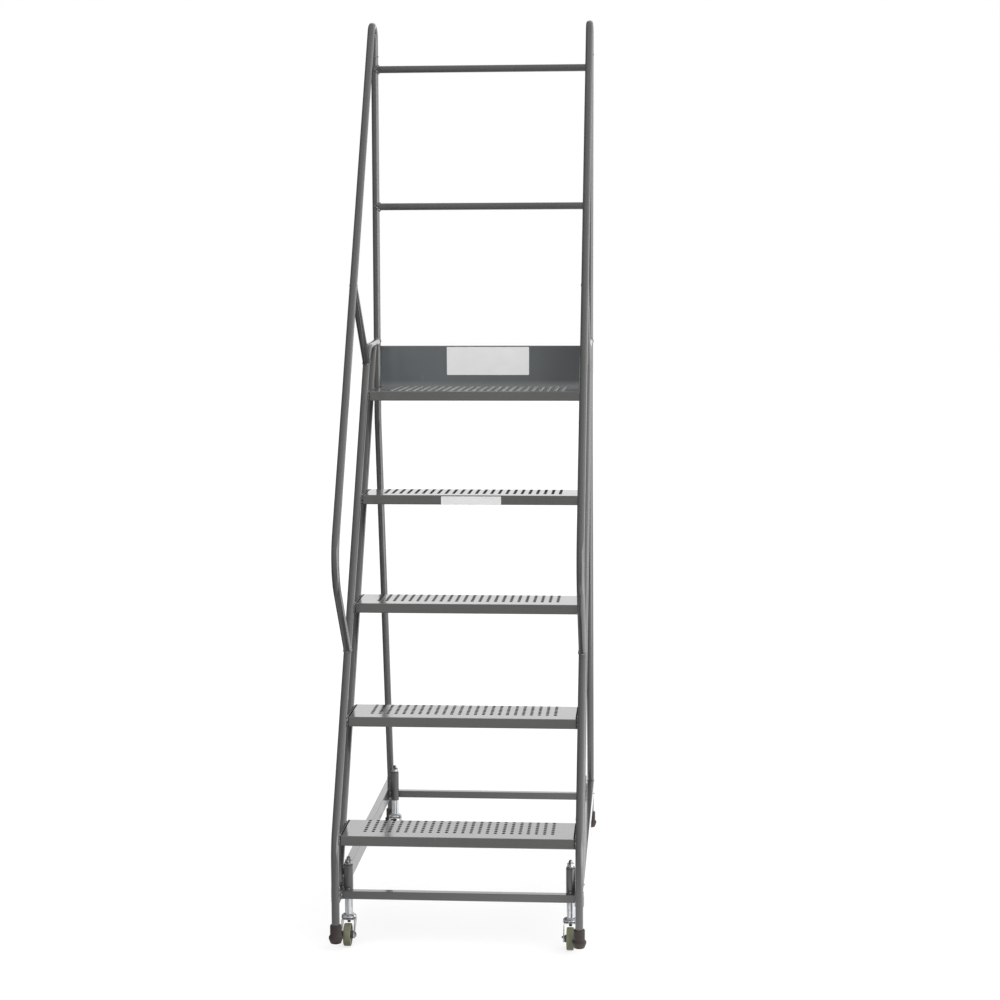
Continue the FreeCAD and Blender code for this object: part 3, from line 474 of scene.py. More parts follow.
def foldedStep(name, look, paint):
    low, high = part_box(name)
    bm = bmesh.new()
    edge = look["fold"] + look["ease"]
    s, top, bottom, seam, corner = look["sheet"], high.z, low.z, look["seam"], look["cutCorner"]
    strip = [(edge, top), (0, top), (0, bottom), (look["lip"], bottom), (look["lip"], bottom + s),
             (s, bottom + s), (s, top - s), (edge, top - s)]
    strip = rounded(strip, [0, look["fold"], look["fold"], corner, corner, look["inner"],
                            look["inner"], 0])
    for start, side, hold in ((low, 1, look["cutBack"]), (high, -1, 0)):
        prism(bm, strip, [lambda u, v: Vector((low.x + max(u, hold), start.y + side * u, v)),
                          lambda u, v: Vector((high.x - max(u, hold), start.y + side * u, v))])
    # end plates, with an open seam between each of them and the top
    for start, side in ((low, 1), (high, -1)):
        def alongEnd(outline, reach, **how):
            return prism(bm, outline, [lambda u, v, y=y: Vector((start.x + side * u, y, v))
                                       for y in reach], **how)

        plate = rounded([(s, top), (0, top), (0, bottom), (s, bottom)], [corner] * 4, 3)
        alongEnd(plate, (low.y + s, high.y - s))
        made = len(bm.faces)
        well = [(seam, top), (seam, top - look["seamDeep"]), (s, top - look["seamDeep"])]
        alongEnd(well, (low.y + edge, high.y - edge), closed=False, caps=False)
        # the gap beside the folded front edge is closed a little way in
        gusset = [(0, bottom), (seam + s, bottom), (seam + s, top - s), (0, top - s)]
        alongEnd(gusset, [low.y + deep for deep in look["gusset"]])
        # the seam's walls and the gusset take the painted shade
        markFrom(bm, made)
    punchedTop(bm, low, high, edge, look)
    piece("folded_" + name, bm, paint, "frame", [name], others=[paintedShadeDark, rimHighlightPaint])


treads = ["tread_1", "tread_2", "tread_3", "tread_4"]
for name in treads:
    foldedStep(name, sheetLook, sheetPaint)
foldedStep("platform", platformLook, platformPaint)
print("treads and platform folded and punched")


# the toe board is folded from the same sheet
low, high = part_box("toe_board")
bm = bmesh.new()
deep, tall, s, corner = high.y - low.y, high.z - low.z, sheetLook["sheet"], sheetLook["cutCorner"]
outline = rounded([(0, 0), (s, 0), (s, tall - s), (deep, tall - s), (deep, tall), (0, tall)],
                  [corner, corner, sheetLook["inner"], corner, corner, sheetLook["fold"]])
prism(bm, outline, [lambda u, v, x=x: Vector((x, low.y + u, low.z + v)) for x in (low.x, high.x)])
piece("folded_toe_board", bm, toePaint, "frame", ["toe_board"])

# blank labels: what each is stuck on, and its reach across and up
labelLook = {"thick": 0.0003, "corner": 0.002,
             "toe_board_label": ("toe_board", (-0.098, 0.1245), (1.3231, 1.3986)),
             "tread_label": ("tread_4", (-0.076, 0.0758), (1.0145, 1.0355))}
for name in ("toe_board_label", "tread_label"):
    host, (x0, x1), (z0, z1) = labelLook[name]
    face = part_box(host)[0].y
    bm = bmesh.new()
    outline = rounded([(x0, z0), (x1, z0), (x1, z1), (x0, z1)], labelLook["corner"], 4)
    prism(bm, outline, [lambda u, v, y=y: Vector((u, y, v))
                        for y in (face, face - labelLook["thick"])])
    piece(name, bm, vinyl, "frame")
print("toe board and labels placed")


# bars of the base; the base rails are scooped where they meet the stiles
barLook = {"wall": 0.0015, "corner": 0.0009, "fit": 0.0003, "tongue": 0.0048}


def hollowBar(name, wide, tall, spot, reach):
    # rectangular tube with rounded corners; spot turns (across, up, which end) into a point
    bm = bmesh.new()
    w, h, t = wide / 2, tall / 2, barLook["wall"]
    outer = rounded([(-w, -h), (w, -h), (w, h), (-w, h)], barLook["corner"], 4)
    inner = [(u * (w - t) / w, v * (h - t) / h) for u, v in outer]
    ends = [lambda u, v, e=e: spot(u, v, e) for e in reach]
    outerRings = prism(bm, outer, ends, caps=False)
    innerRings = prism(bm, inner, ends, caps=False)
    skin(bm, outerRings[0], innerRings[0])
    skin(bm, outerRings[-1], innerRings[-1])
    piece("rounded_" + name, bm, tubePaint, "frame", [name])


for name in ("front_crossbar", "rear_crossbar"):
    low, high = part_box(name)
    middle = (low + high) / 2
    hollowBar(name, high.y - low.y, high.z - low.z,
              lambda u, v, x: Vector((x, middle.y + u, middle.z + v)), (low.x, high.x))

tubeRadius = 0.0095
footLow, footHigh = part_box("foot_front_left")
footY = (footLow.y + footHigh.y) / 2
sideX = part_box("stile_right")[1].x - tubeRadius


def scoop(across):
    # how far behind the stile's axis its surface lies, at a distance across it
    return math.sqrt(max(tubeRadius ** 2 - across * across, 0))


for side, x in (("left", -sideX), ("right", sideX)):
    low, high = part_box("base_rail_" + side)
    middle = (low + high) / 2

    def railSpot(u, v, end, x=x, middle=middle, high=high):
        start = footY + max(scoop(u) + barLook["fit"], barLook["tongue"])
        return Vector((x + u, high.y if end else start, middle.z + v))

    hollowBar("base_rail_" + side, high.x - low.x, high.z - low.z, railSpot, (0, 1))
print("base bars drawn")


# weld beads: radii, and the length of one ripple
weldLook = {"size": 0.0017, "ripple": 0.16, "pitch": 0.0024, "step": 0.0006, "neat": 0.0010,
            "blob": 0.0031, "blobPitch": 0.0055, "butt": 0.0016, "buttPitch": 0.0045,
            "bar": 0.0014, "top": 0.0021, "end": 0.0019, "endPitch": 0.005, "sleeveTop": 0.0015,
            "taper": (0.45, 0.15), "uneven": 0.16, "runUp": 0.06, "proud": 0.0006,
            "railHalf": 0.0085, "railEdge": 0.0092, "railBehind": 0.0050, "trim": 0.002,
            "topTrim": 0.001, "topHalf": 0.011}
dice = random.Random(7)


def resampled(path, step, closed):
    points = path + [path[0]] if closed else path
    lengths = [(b - a).length for a, b in zip(points, points[1:])]
    total = sum(lengths)
    count = max(int(total / step), 4)
    made, i, passed = [], 0, 0.0
    for k in range(count if closed else count + 1):
        want = total * k / count
        while i < len(lengths) - 1 and passed + lengths[i] < want:
            passed += lengths[i]
            i += 1
        share = (want - passed) / max(lengths[i], 1e-9)
        made.append(points[i].lerp(points[i + 1], min(share, 1)))
    return made


def bead(bm, path, closed=True, size=weldLook["size"], pitch=weldLook["pitch"]):
    # a rippled weld bead along a seam
    points = resampled(path, weldLook["step"], closed)
    phase = dice.random() * 6.28
    swell = weldLook["ripple"] * (pitch / weldLook["pitch"]) ** 0.8
    (start, gain), uneven = weldLook["taper"], weldLook["uneven"]
    radii = []
    last = len(points) - 1
    for k in range(last + 1):
        along = k * weldLook["step"] / pitch * 2 * math.pi + phase
        wave = 1 + swell * math.sin(along + 0.7 * math.sin(along * 0.37))
        taper = 1 if closed else min(1, start + min(k, last - k) * gain)
        radii.append(size * wave * taper * (1 - uneven / 2 + uneven * dice.random()))
    sweep(bm, points, radii, 6, closed)


def upBead(bm, x, y, low, high, *how):
    # a bead that runs straight up
    bead(bm, [Vector((x, y, low)), Vector((x, y, high))], False, *how)


def around(along, side, count=40):
    # points round a tube, as offsets from its axis
    up = along.cross(side).normalized()
    return [(side * math.cos(angle) + up * math.sin(angle)) * tubeRadius
            for angle in (2 * math.pi * k / count for k in range(count))]


def saddle(bm, end, along, other, **how):
    # a bead on the seam where a tube runs along until its axis meets another tube's, at end
    slant = along.dot(other)
    a = 1 - slant ** 2
    seam = []
    for offset in around(along, along.orthogonal().normalized()):
        gap = offset - along * weldLook["runUp"]
        b = 2 * (gap.dot(along) - gap.dot(other) * slant)
        c = gap.length_squared - gap.dot(other) ** 2 - tubeRadius ** 2
        inside = max(b * b - 4 * a * c, 0)
        seam.append(end + gap + along * ((-b - math.sqrt(inside)) / (2 * a)))
    bead(bm, seam, **how)


def landing(bm, end, along, height):
    # a bead on the seam where a tube meets a level face
    bead(bm, [end + offset + along * ((height - end.z - offset.z) / along.z)
              for offset in around(along, Vector((1, 0, 0)))])


# where the tubes of a side frame meet, as heights, depths and drops from each other
sideLook = {"lean": math.radians(30), "bendDrop": 0.020, "guardHigh": 0.112, "guardRise": 0.010,
            "string": 0.118, "legFoot": 0.539, "legBend": 0.089, "strutDrop": 0.041,
            "strutRise": 0.162, "railOffset": 0.346, "railFoot": 0.676, "kneeRise": 0.23,
            "post": 0.536, "postFoot": 0.08, "bite": 0.0004}
leanAlong = Vector((0, math.sin(sideLook["lean"]), math.cos(sideLook["lean"])))
upward = Vector((0, 0, 1))
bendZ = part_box("tread_1")[1].z - sideLook["bendDrop"]
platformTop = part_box("platform")[1].z
guardZ = platformTop + sideLook["guardHigh"]
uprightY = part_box("mid_guard_rail")[0].y + tubeRadius
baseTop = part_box("base_rail_left")[1].z


def onStile(x, z, behind=0.0):
    # a point of the stile's leaning axis, or that far behind it
    return Vector((x, footY + (z - bendZ) * math.tan(sideLook["lean"]) + behind, z))


def aim(start, end):
    return (end - start).normalized()


look = sideLook
for side, x in (("left", -sideX), ("right", sideX)):
    bm = bmesh.new()
    landing(bm, onStile(x, baseTop, look["string"]), -leanAlong, baseTop)
    guardStart = onStile(x, guardZ)
    guardEnd = Vector((x, uprightY, guardZ + look["guardRise"]))
    guardAlong = aim(guardStart, guardEnd)
    pitch = look["guardRise"] / (guardEnd.y - guardStart.y)
    stringZ = guardZ + look["string"] * pitch / (1 - pitch * math.tan(look["lean"]))
    saddle(bm, onStile(x, stringZ, look["string"]), leanAlong, guardAlong)
    saddle(bm, guardEnd, guardAlong, upward)
    legFoot = Vector((x, look["legFoot"], baseTop))
    legTop = Vector((x, uprightY, platformTop - look["legBend"]))
    landing(bm, legFoot, aim(legTop, legFoot), baseTop)
    strutLow = onStile(x, guardZ - look["strutDrop"])
    strutTop = onStile(x, guardZ + look["strutRise"], -look["railOffset"])
    strutAlong = aim(strutTop, strutLow)
    saddle(bm, strutLow, strutAlong, leanAlong)
    saddle(bm, strutTop, -strutAlong, leanAlong, size=weldLook["neat"])
    butt = Vector((x, uprightY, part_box("rear_leg_" + side)[1].z))
    reach = tubeRadius - look["bite"]
    bead(bm, [about(butt, "Z", a, reach, 0) for a in span(0, 2 * math.pi * 39 / 40, 40)],
         size=weldLook["butt"], pitch=weldLook["buttPitch"])
    railStart = onStile(x, look["railFoot"])
    knee = onStile(x, look["railFoot"] + look["kneeRise"], -look["railOffset"])
    saddle(bm, railStart, aim(knee, railStart), leanAlong)
    for rail in ("mid_guard_rail", "top_guard_rail"):
        middle = sum(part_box(rail), Vector()) / 2
        blob = {"size": weldLook["blob"], "pitch": weldLook["blobPitch"]} if x < 0 else {}
        saddle(bm, Vector((x, middle.y, middle.z)), Vector((math.copysign(1, x), 0, 0)), upward,
               **blob)
    railLow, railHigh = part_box("base_rail_" + side)
    half, edge = weldLook["railHalf"], weldLook["railEdge"]
    for z in (railLow.z, railHigh.z):
        bead(bm, [Vector((x + u, footY + scoop(u) + weldLook["proud"], z))
                  for u in span(-half, half, 12)], False)
    for spot in (x - edge, x + edge):
        upBead(bm, spot, footY + weldLook["railBehind"], railLow.z, railHigh.z)
    landing(bm, Vector((x, look["post"], look["postFoot"])), upward, railLow.z)
    for bar in ("front_crossbar", "rear_crossbar"):
        low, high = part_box(bar)
        face = x - math.copysign(tubeRadius, x)
        loop = rounded([(low.y, low.z), (high.y, low.z), (high.y, high.z), (low.y, high.z)],
                       0.0022, 3)
        bead(bm, [Vector((face, y, z)) for y, z in loop], size=weldLook["bar"])
    for name in treads + ["platform"]:
        low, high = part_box(name)
        inner = high.x if x > 0 else low.x
        upBead(bm, inner, low.y, low.z + weldLook["trim"], high.z - weldLook["trim"],
               weldLook["end"], weldLook["endPitch"])
        for behind in (0, look["string"]):
            top = onStile(inner, high.z, behind).y
            reach = (max(top - weldLook["topHalf"], low.y + weldLook["topTrim"]),
                     min(top + weldLook["topHalf"], high.y - weldLook["topTrim"]))
            bead(bm, [Vector((inner, y, high.z)) for y in reach], False, weldLook["top"])
    piece("side_frame_welds_" + side, bm, weldPaint, "frame", crease=60)

# the outer beads of a sleeve are given as how far back, how far below its top, and size
sleeveLook = {"spread": 0.42, "gap": 0.0008, "trim": 0.001, "outerTrim": 0.002,
              "outer": ((0.0045, 0.026, 0.0021), (-0.005, 0.003, 0.0016))}
for corner in corners:
    bm = bmesh.new()
    low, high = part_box("castor_sleeve_" + corner)
    centre = (low + high) / 2
    radius = (high.x - low.x) / 2
    barLow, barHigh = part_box(corner.split("_")[0] + "_crossbar")
    face, away = (barHigh.y, -1) if corner.startswith("front") else (barLow.y, 1)
    wide, trim = radius * sleeveLook["spread"], sleeveLook["trim"]
    for spot in (centre.x - wide, centre.x + wide):
        upBead(bm, spot, face, max(barLow.z, low.z) + trim, barHigh.z - trim, weldLook["end"])
    bead(bm, [Vector((centre.x + u, face + away * weldLook["proud"], barHigh.z))
              for u in (-wide, wide)], False, weldLook["sleeveTop"])
    # outer side of the sleeve, run up against the base rail
    outer = centre.x + math.copysign(radius + sleeveLook["gap"], centre.x)
    for back, drop, size in sleeveLook["outer"]:
        upBead(bm, outer, centre.y + away * back, barLow.z + sleeveLook["outerTrim"],
               high.z - drop, size)
    piece("sleeve_weld_" + corner, bm, weldPaint, "frame", crease=60)
print("welds laid")


footLook = {"sides": 44, "fit": 0.0002, "sole": 0.006, "base": 0.0125, "body": 0.0135,
            "bends": [0, 0.0015, 0.0015, 0.0015, 0.002, 0.0022, 0.0006, 0.0006, 0]}
for corner in corners:
    low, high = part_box("foot_" + corner)
    centre = (low + high) / 2
    tall, lip, body = high.z - low.z, (high.x - low.x) / 2, footLook["body"]
    socket, sole = tubeRadius + footLook["fit"], footLook["sole"]
    outline = [(0, 0), (footLook["base"], 0), (lip, tall * 0.25), (lip, tall * 0.35),
               (body, tall * 0.45), (body, tall), (socket, tall), (socket, sole), (0, sole)]
    bm = bmesh.new()
    lathe(bm, rounded(outline, footLook["bends"], 4), (centre.x, centre.y, low.z), "Z",
          footLook["sides"])
    piece("ferrule_" + corner, bm, rubber, "frame", ["foot_" + corner])
print("feet moulded")


# castors; the turned parts are (radius, height) outlines with a bend for each corner
castorLook = {
    "sides": 48, "sleeveBore": 0.0095, "capBore": 0.0051, "capGap": 0.0022, "capStep": 0.0008,
    "skirt": 0.001,
    "pinWasher": ([(0.0036, 0.0572), (0.0085, 0.0584), (0.0122, 0.0600), (0.0036, 0.0600)],
                  [0.0002, 0.001, 0.0005, 0]),
    "kingpin": ([(0, 0.0508), (0.0039, 0.0508), (0.0039, 0.0543), (0.0020, 0.0549),
                 (0.0020, 0.0590), (0.004, 0.0596), (0.004, 0.0623), (0.0163, 0.0623),
                 (0.0163, 0.0650), (0, 0.0650)], [0, 0.001, 0.0006, 0.0004, 0, 0, 0, 0, 0, 0]),
    "stem": ([(0, 0.0646), (0.0165, 0.0646), (0.0178, 0.0654), (0.0180, 0.0676), (0.0145, 0.0708),
              (0.0110, 0.0722), (0.00945, 0.0730), (0.00945, 0.134), (0.0046, 0.134),
              (0.0046, 0.180), (0, 0.180)],
             [0, 0.0005, 0.0008, 0.0022, 0.003, 0.001, 0.0006, 0.0008, 0, 0, 0]),
    "lowerRace": ([(0.0046, 0.0600), (0.0150, 0.0600), (0.0176, 0.0610), (0.0185, 0.0618),
                   (0.0185, 0.0626), (0.0046, 0.0626)], [0, 0.0008, 0.0006, 0.0004, 0.0004, 0]),
    "raceTop": 0.0728, "rodFoot": 0.178, "rodRadius": 0.00475, "rodShoulder": 0.0045,
    "rodTip": ((0.0046, 0.0036), (0.0041, 0.0022), (0.0031, 0.001), (0.0016, 0.0002), (0, 0)),
    "thread": 0.0015, "threadDeep": 0.0004, "threadEnd": 0.0046,
    "flats": 0.0155, "nutBore": 0.0050, "washer": 0.01, "washerBore": 0.0052, "washerThick": 0.0018,
    "forkHalf": 0.0165, "forkPlate": 0.0025, "forkCrown": 0.063, "forkBend": 0.004,
    "forkNeck": 0.056, "forkTop": (-0.017, 0.014), "forkSquare": 0.0595,
    "axle": 0.0039, "axleFlats": 0.0108,
    "wheelHalf": 0.0085, "wheelBore": 0.0041, "web": 0.0195, "tyre": 0.021,
    "wheelBends": [0, 0.001, 0.0008, 0.0022, 0], "hub": 0.009,
    "wire": 0.0012, "turns": 5, "springCap": 0.191, "springFoot": 0.134, "travel": 0.022}


def hexNut(bm, centre, flats, low, high, bore, axis="Z"):
    # a hexagon nut or bolt head with chamfered corners
    sides = castorLook["sides"]
    crown = flats / 2 * 0.95
    angles = [2 * math.pi * n / sides for n in range(sides)]
    rings = [[(bore, low)] * sides, [(crown, low)] * sides]
    for height, inwards in ((low, 0.55), (high, -0.55)):
        ring = []
        for angle in angles:
            fromFlat = (angle + math.pi / 6) % (math.pi / 3) - math.pi / 6
            radius = flats / 2 / math.cos(fromFlat)
            ring.append((radius, height + (radius - crown) * inwards))
        rings.append(ring)
    rings += [[(crown, high)] * sides, [(bore, high)] * sides]
    rings = [[bm.verts.new(about(centre, axis, angle, radius, height))
              for angle, (radius, height) in zip(angles, ring)] for ring in rings]
    for first, second in zip(rings, rings[1:] + rings[:1]):
        skin(bm, first, second)


def pressedFork(bm, x, y, axleY, axleZ, bottom):
    # crown and two legs, as one bent plate that narrows round the axle
    look = castorLook
    half, bend, crown = look["forkHalf"], look["forkBend"], look["forkCrown"]
    eye = axleZ - bottom

    def reachY(z):
        # front and rear edge of a leg at a height
        if z <= axleZ:
            wide = math.sqrt(max(eye ** 2 - (z - axleZ) ** 2, 0))
            return axleY - wide, axleY + wide
        rise = min((z - axleZ) / (look["forkNeck"] - axleZ), 1)
        ease = rise * rise * (3 - 2 * rise)
        front, rear = look["forkTop"]
        return axleY - eye + ease * (front - axleY + eye), axleY + eye + ease * (rear - axleY - eye)

    path = [(-half, bottom + eye * (1 - math.cos(angle))) for angle in span(0, math.pi / 2, 7)]
    path += [(-half, z) for z in span(axleZ + 0.003, crown - bend - 0.0005, 8)]
    for angle in span(0, math.pi / 2, 6):
        path.append((-half + bend * (1 - math.cos(angle)), crown - bend + bend * math.sin(angle)))
    path = path + [(-u, z) for u, z in reversed(path)]
    sheets = []
    for shrink in (0, look["forkPlate"]):
        rows = []
        for u, z in path:
            if abs(u) >= half - 1e-6:
                spot = (math.copysign(half - shrink, u), z)
            else:
                centre = Vector((math.copysign(half - bend, u), crown - bend))
                spot = centre + (Vector((u, z)) - centre).normalized() * (bend - shrink)
            y0, y1 = reachY(min(z, look["forkSquare"]))
            rows.append([bm.verts.new((x + spot[0], y + y0 + (y1 - y0) * t, spot[1]))
                         for t in (0, 0.03, 0.25, 0.5, 0.75, 0.97, 1)])
        sheets.append(rows)
    outer, inner = sheets
    for rows in sheets:
        for first, second in zip(rows, rows[1:]):
            skin(bm, first, second, False)
    for end in (0, -1):
        skin(bm, [row[end] for row in outer], [row[end] for row in inner], False)
        skin(bm, outer[end], inner[end], False)


def castor(corner):
    look = castorLook
    at = "_" + corner
    stemBody, forkBody, wheelBody = "stem" + at, "fork" + at, "wheel" + at

    def box(part):
        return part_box("castor_" + part + at)

    def turned(outline, bends, steps=4, sides=look["sides"], bm=None):
        bm = bmesh.new() if bm is None else bm
        lathe(bm, rounded(outline, bends, steps), (x, y, 0), "Z", sides)
        return bm

    stemLow, stemHigh = box("stem")
    x, y = (stemLow.x + stemHigh.x) / 2, (stemLow.y + stemHigh.y) / 2

    # sleeve, with a softened top edge and a cap in painted shade
    sleeveLow, sleeveHigh = box("sleeve")
    sleeve, bore, hole = (sleeveHigh.x - sleeveLow.x) / 2, look["sleeveBore"], look["capBore"]
    top, rim = sleeveHigh.z, sleeveHigh.z - look["capGap"]
    bm = turned([(bore, sleeveLow.z), (sleeve, sleeveLow.z), (sleeve, rim), (hole, rim),
                 (hole, rim - look["skirt"]), (bore, rim - look["skirt"])],
                [0.0003, 0.0005, 0.0008, 0.0003, 0.0003, 0.0003])
    made = len(bm.faces)
    cap = sleeve - look["capStep"]
    turned([(hole, rim), (cap, rim), (cap, top), (hole, top)], [0, 0, 0.0004, 0], bm=bm)
    markFrom(bm, made)
    piece("sleeve" + at, bm, tubePaint, "frame", ["castor_sleeve" + at],
          others=[paintedShadeDark])

    # kingpin: a dished washer and a riveted end, dark with painted shade
    washer, pin = [turned(*look[key], sides=40) for key in ("pinWasher", "kingpin")]
    piece("kingpin_washer" + at, washer, zincAcross, stemBody)
    piece("kingpin" + at, pin, kingpinSteel, stemBody)

    # stem: upper race, plunger and plain rod
    bm = turned(*look["stem"])
    for face in bm.faces:
        face.material_index = 1 if face.calc_center_median().z < look["raceTop"] else 0
    piece("stem" + at, bm, zinc, stemBody, ["castor_stem" + at],
          others=[raceZinc])

    bm = bmesh.new()
    top, foot = stemHigh.z, look["rodFoot"]
    outline = [(0, foot)]
    outline += [(look["rodRadius"], z) for z in span(foot, top - look["rodShoulder"], 90)]
    outline += [(radius, top - drop) for radius, drop in look["rodTip"]]

    def thread(angle, height):
        if height > top - look["threadEnd"]:
            return 0
        share = (height / look["thread"] - angle / (2 * math.pi)) % 1
        return (abs(share - 0.5) * 2 - 0.5) * look["threadDeep"]

    lathe(bm, outline, (x, y, 0), "Z", 28, thread)
    piece("rod" + at, bm, nutZinc, stemBody, crease=80)

    # washer and nut on the rod
    nutLow, nutHigh = box("nut")
    seat, bore, rim = nutLow.z + look["washerThick"], look["washerBore"], look["washer"]
    bm = turned([(bore, nutLow.z), (rim, nutLow.z), (rim, seat), (bore, seat)], 0.0004, 3)
    piece("nut_washer" + at, bm, zincAcross, stemBody)
    bm = bmesh.new()
    hexNut(bm, (x, y, 0), look["flats"], seat, nutHigh.z, look["nutBore"])
    piece("nut" + at, bm, nutZinc, stemBody, ["castor_nut" + at], 25)

    # fork and its ball race
    axleLow, axleHigh = box("axle")
    axleY, axleZ = (axleLow.y + axleHigh.y) / 2 - y, (axleLow.z + axleHigh.z) / 2
    bm = bmesh.new()
    pressedFork(bm, x, y, axleY, axleZ, box("fork")[0].z)
    turned(*look["lowerRace"], bm=bm)
    piece("pressed_fork" + at, bm, zincAcross, forkBody, ["castor_fork" + at], 40)

    # axle bolt with its head and nut
    bm = bmesh.new()
    centre = (x, y + axleY, axleZ)
    pin, flats, half = look["axle"], look["axleFlats"], look["forkHalf"]
    reach = (axleHigh.x - axleLow.x) / 2
    lathe(bm, rounded([(0, -reach), (pin, -reach), (pin, reach), (0, reach)],
                      [0, 0.0008, 0.0008, 0], 3), centre, "X", 28)
    hexNut(bm, centre, flats, half, reach - 0.0006, pin, "X")
    hexNut(bm, centre, flats, -reach + 0.0004, -half, pin, "X")
    piece("axle" + at, bm, zinc, forkBody, ["castor_axle" + at], 25)

    # wheel: tread with rounded shoulders, dished web and hub
    bm = bmesh.new()
    wheelLow, wheelHigh = box("wheel")
    outer, hub = (wheelHigh.z - wheelLow.z) / 2, (wheelHigh.x - wheelLow.x) / 2
    half, bore, boss = look["wheelHalf"], look["wheelBore"], look["hub"]
    outline = [(bore, half - 0.002), (look["web"], half - 0.0022), (look["tyre"], half),
               (outer - 0.0002, half), (outer, 0.0003)]
    outline += [(radius, -height) for radius, height in reversed(outline)]
    bends = look["wheelBends"]
    lathe(bm, rounded(outline, bends + bends[::-1], 4), centre, "X", 64)
    piece("roller" + at, bm, wheelPaint, wheelBody, ["castor_wheel" + at], 30)
    bm = bmesh.new()
    for side in (1, -1):
        web = side * (half - 0.0025)
        outline = [(bore, web), (boss, web), (boss, side * (hub - 0.001)),
                   (boss - 0.002, side * hub), (bore, side * hub)]
        lathe(bm, rounded(outline, [0, 0, 0.0008, 0.0006, 0.0003], 3), centre, "X", 40)
    piece("hub" + at, bm, hubMoulding, wheelBody)

    # spring between the stem's shoulder and the sleeve's cap
    bm = bmesh.new()
    springLow, springHigh = box("spring")
    wire = look["wire"]
    mean = (springHigh.x - springLow.x) / 2 - wire
    rise = springHigh.z - springLow.z - 2 * wire
    foot, full = (x, y, springLow.z + wire), 2 * math.pi * look["turns"]
    path = [about(foot, "Z", full * share, mean, rise * share) for share in span(0, 1, 151)]
    sweep(bm, path, [wire] * len(path), 8, False)
    coil = piece("coil" + at, bm, springWire, "frame",
                 ["castor_spring" + at])
    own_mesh(coil)


for corner in corners:
    castor(corner)
print("castors assembled")


# brightness of the room as reflections see it, towards each side, and of the floor near the stand
mirrorLook = {"front": 0.36, "left": 0.05, "right": 1.0, "behind": 1.0, "low": 0.84, "above": 0.34,
              "sideEdges": (-0.2, 0.85), "frontEdges": (-0.35, -0.95), "aboveEdges": (0.6, 0.9),
              "strip": 2.1, "stripAcross": (0.58, 0.7), "stripDepth": (0.28, 0.1),
              "stripHeight": (0.35, 0.2), "backdropHeight": (0.04, 0.25),
              "backdropAcross": (0.09, 0.03), "backdropDepth": (0.5, 0.7),
              "poolLeft": 0.35, "poolRight": 1.35, "poolAcross": (-0.7, 0.7),
              "poolReach": (1.4, 0.85)}
# the room's soft light: a little from all round, and more from the front, the right and above
softLook = {"plain": 0.2, "front": 2.25, "frontEdges": (0.1, -1.0), "right": 1.8,
            "rightEdges": (0.0, 1.0), "heightEdges": (0.0, 0.5), "above": 0.3,
            "aboveEdges": (0.2, 1.0)}


def towards(start, end, share):
    # blends two brightnesses by a share
    return start + (end - start) * share


def mirroredRoom(paint, heading):
    look = mirrorLook
    across, depth, height = [paint.part(heading, axis) for axis in "XYZ"]
    around = towards(look["left"], look["right"], paint.ramp(across, *look["sideEdges"]))
    around = towards(around, look["front"], paint.ramp(depth, *look["frontEdges"]))
    strip = paint.ramp(across, *look["stripAcross"]) * paint.ramp(depth, *look["stripDepth"])
    strip = strip * paint.ramp(height, *look["stripHeight"])
    backdrop = towards(look["low"], look["behind"], paint.ramp(height, *look["backdropHeight"]))
    share = paint.ramp(across * across, *look["backdropAcross"])
    share = share * paint.ramp(depth, *look["backdropDepth"])
    around = towards(around + strip * look["strip"], backdrop, share)
    return towards(around, look["above"], paint.ramp(height, *look["aboveEdges"]))


def rays(paint):
    # what a camera ray and a glossy ray see
    return [paint.node("LightPath", {}, {}, "Is " + kind + " Ray") for kind in ("Camera", "Glossy")]


white = (1, 1, 1, 1)
floorLook = {"half": 30, "drop": 0.0002, "shade": 0.3, "glow": 0.74}
bm = bmesh.new()
half = floorLook["half"]
bm.faces.new([bm.verts.new((u * half, v * half, -floorLook["drop"]))
              for u, v in ((-1, -1), (1, -1), (1, 1), (-1, 1))])
mesh = bpy.data.meshes.new("floor")
bm.to_mesh(mesh)
bm.free()
floor = bpy.data.objects.new("floor", mesh)
bpy.context.scene.collection.objects.link(floor)
paint = Paint("pale_floor")
seen, shiny = rays(paint)
place = paint.node("NewGeometry", {}, {}, "Position")
heading = paint.node("VectorMath", {"operation": "NORMALIZE"}, {0: place})
reach = paint.node("VectorMath", {"operation": "LENGTH"}, {0: place}, "Value")
matt = paint.node("BsdfDiffuse", {}, {"Color": (floorLook["shade"],) * 3 + (1,)})
glow = paint.node("Emission", {}, {"Color": white, "Strength": seen * floorLook["glow"]})
both = paint.node("AddShader", {}, {0: matt, 1: glow})
pool = towards(mirrorLook["poolLeft"], mirrorLook["poolRight"],
               paint.ramp(paint.part(place, "X"), *mirrorLook["poolAcross"]))
shown = towards(mirroredRoom(paint, heading), pool, paint.ramp(reach, *mirrorLook["poolReach"]))
mirrored = paint.node("Emission", {}, {"Color": white, "Strength": shown})
mixed = paint.node("MixShader", {}, {0: shiny, 1: both, 2: mirrored})
paint.node("OutputMaterial", {}, {"Surface": mixed})
mesh.materials.append(paint.material)

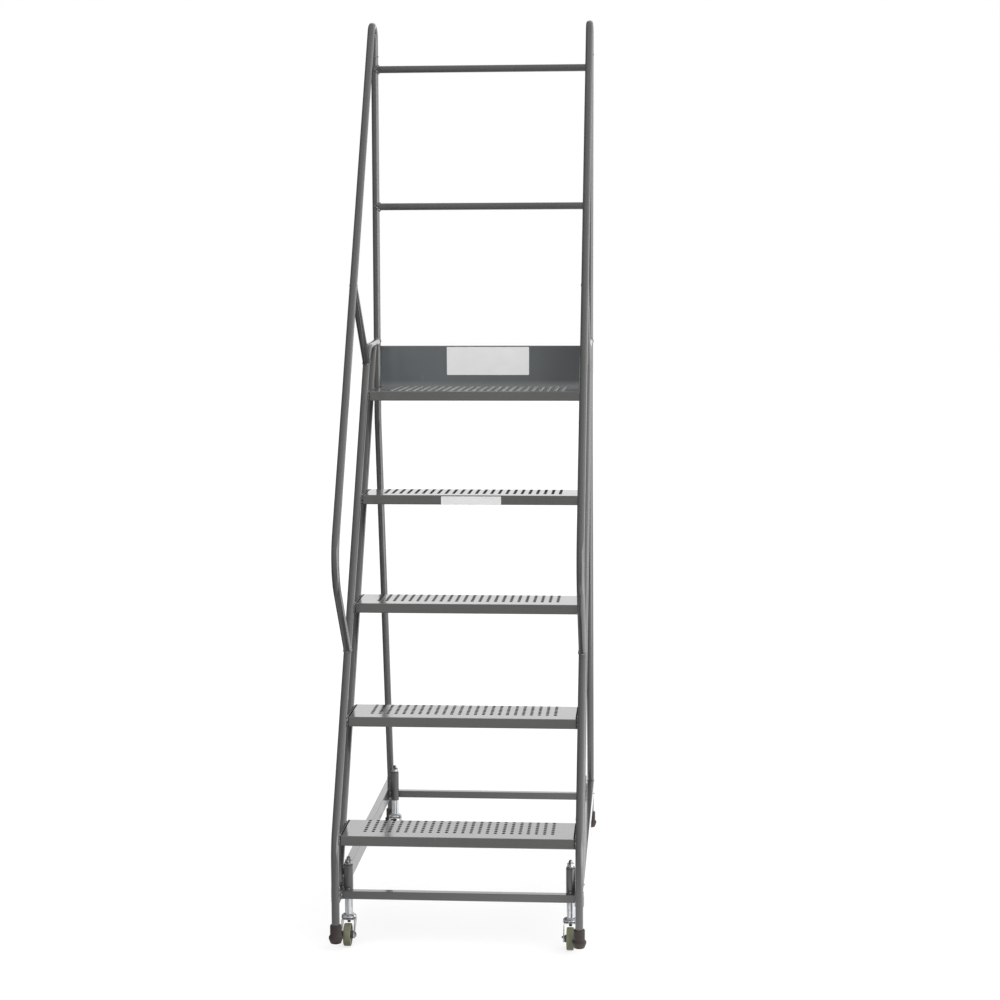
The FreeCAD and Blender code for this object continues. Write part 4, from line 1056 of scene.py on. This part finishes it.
world = bpy.data.worlds.new("studio")
bpy.context.scene.world = world
world.use_nodes = True
sky = Paint("studio", world.node_tree)
seen, shiny = rays(sky)
heading = sky.node("TexCoord", {}, {}, "Generated")
across, depth, height = [sky.part(heading, axis) for axis in "XYZ"]
sides = sky.ramp(depth, *softLook["frontEdges"]) * softLook["front"]
sides = sides + sky.ramp(across, *softLook["rightEdges"]) * softLook["right"]
soft = softLook["plain"] + sides * sky.ramp(height, *softLook["heightEdges"])
soft = soft + sky.ramp(height, *softLook["aboveEdges"]) * softLook["above"]
strength = seen + (1 - seen) * towards(soft, mirroredRoom(sky, heading), shiny)
back = sky.node("Background", {}, {"Color": white, "Strength": strength})
sky.node("OutputWorld", {}, {"Surface": back})

lampLook = {"power": 9, "size": (0.9, 3.0), "spot": (3.4, 2.0, 1.6), "aim": (0, 0, 1.2)}
light = bpy.data.lights.new("right_softbox", "AREA")
light.energy = lampLook["power"]
light.shape = "RECTANGLE"
light.size, light.size_y = lampLook["size"]
lamp = bpy.data.objects.new("right_softbox", light)
lamp.location = lampLook["spot"]
beam = Vector(lampLook["aim"]) - Vector(lampLook["spot"])
lamp.rotation_euler = beam.to_track_quat("-Z", "Y").to_euler()
bpy.context.scene.collection.objects.link(lamp)

cameraLook = {"spot": (0.425605, -5.171113, 1.571126), "yaw": -0.0692, "pitch": 0.1064,
              "roll": -0.0028, "lens": 73.26}
data = bpy.data.cameras.new("camera")
data.lens = cameraLook["lens"]
data.sensor_width = 36
data.clip_end = 100
camera = bpy.data.objects.new("camera", data)
yaw, pitch, roll = cameraLook["yaw"], cameraLook["pitch"], cameraLook["roll"]
level = math.cos(pitch)
forward = Vector((math.sin(yaw) * level, math.cos(yaw) * level, -math.sin(pitch)))
right = Vector((math.cos(yaw), -math.sin(yaw), 0))
up = right.cross(forward)
c, s = math.cos(roll), math.sin(roll)
turn = Matrix((right * c + up * s, up * c - right * s, -forward)).transposed().to_4x4()
camera.matrix_world = Matrix.Translation(Vector(cameraLook["spot"])) @ turn
bpy.context.scene.collection.objects.link(camera)
bpy.context.scene.camera = camera
bpy.context.scene.view_settings.view_transform = "Standard"
print("studio set")
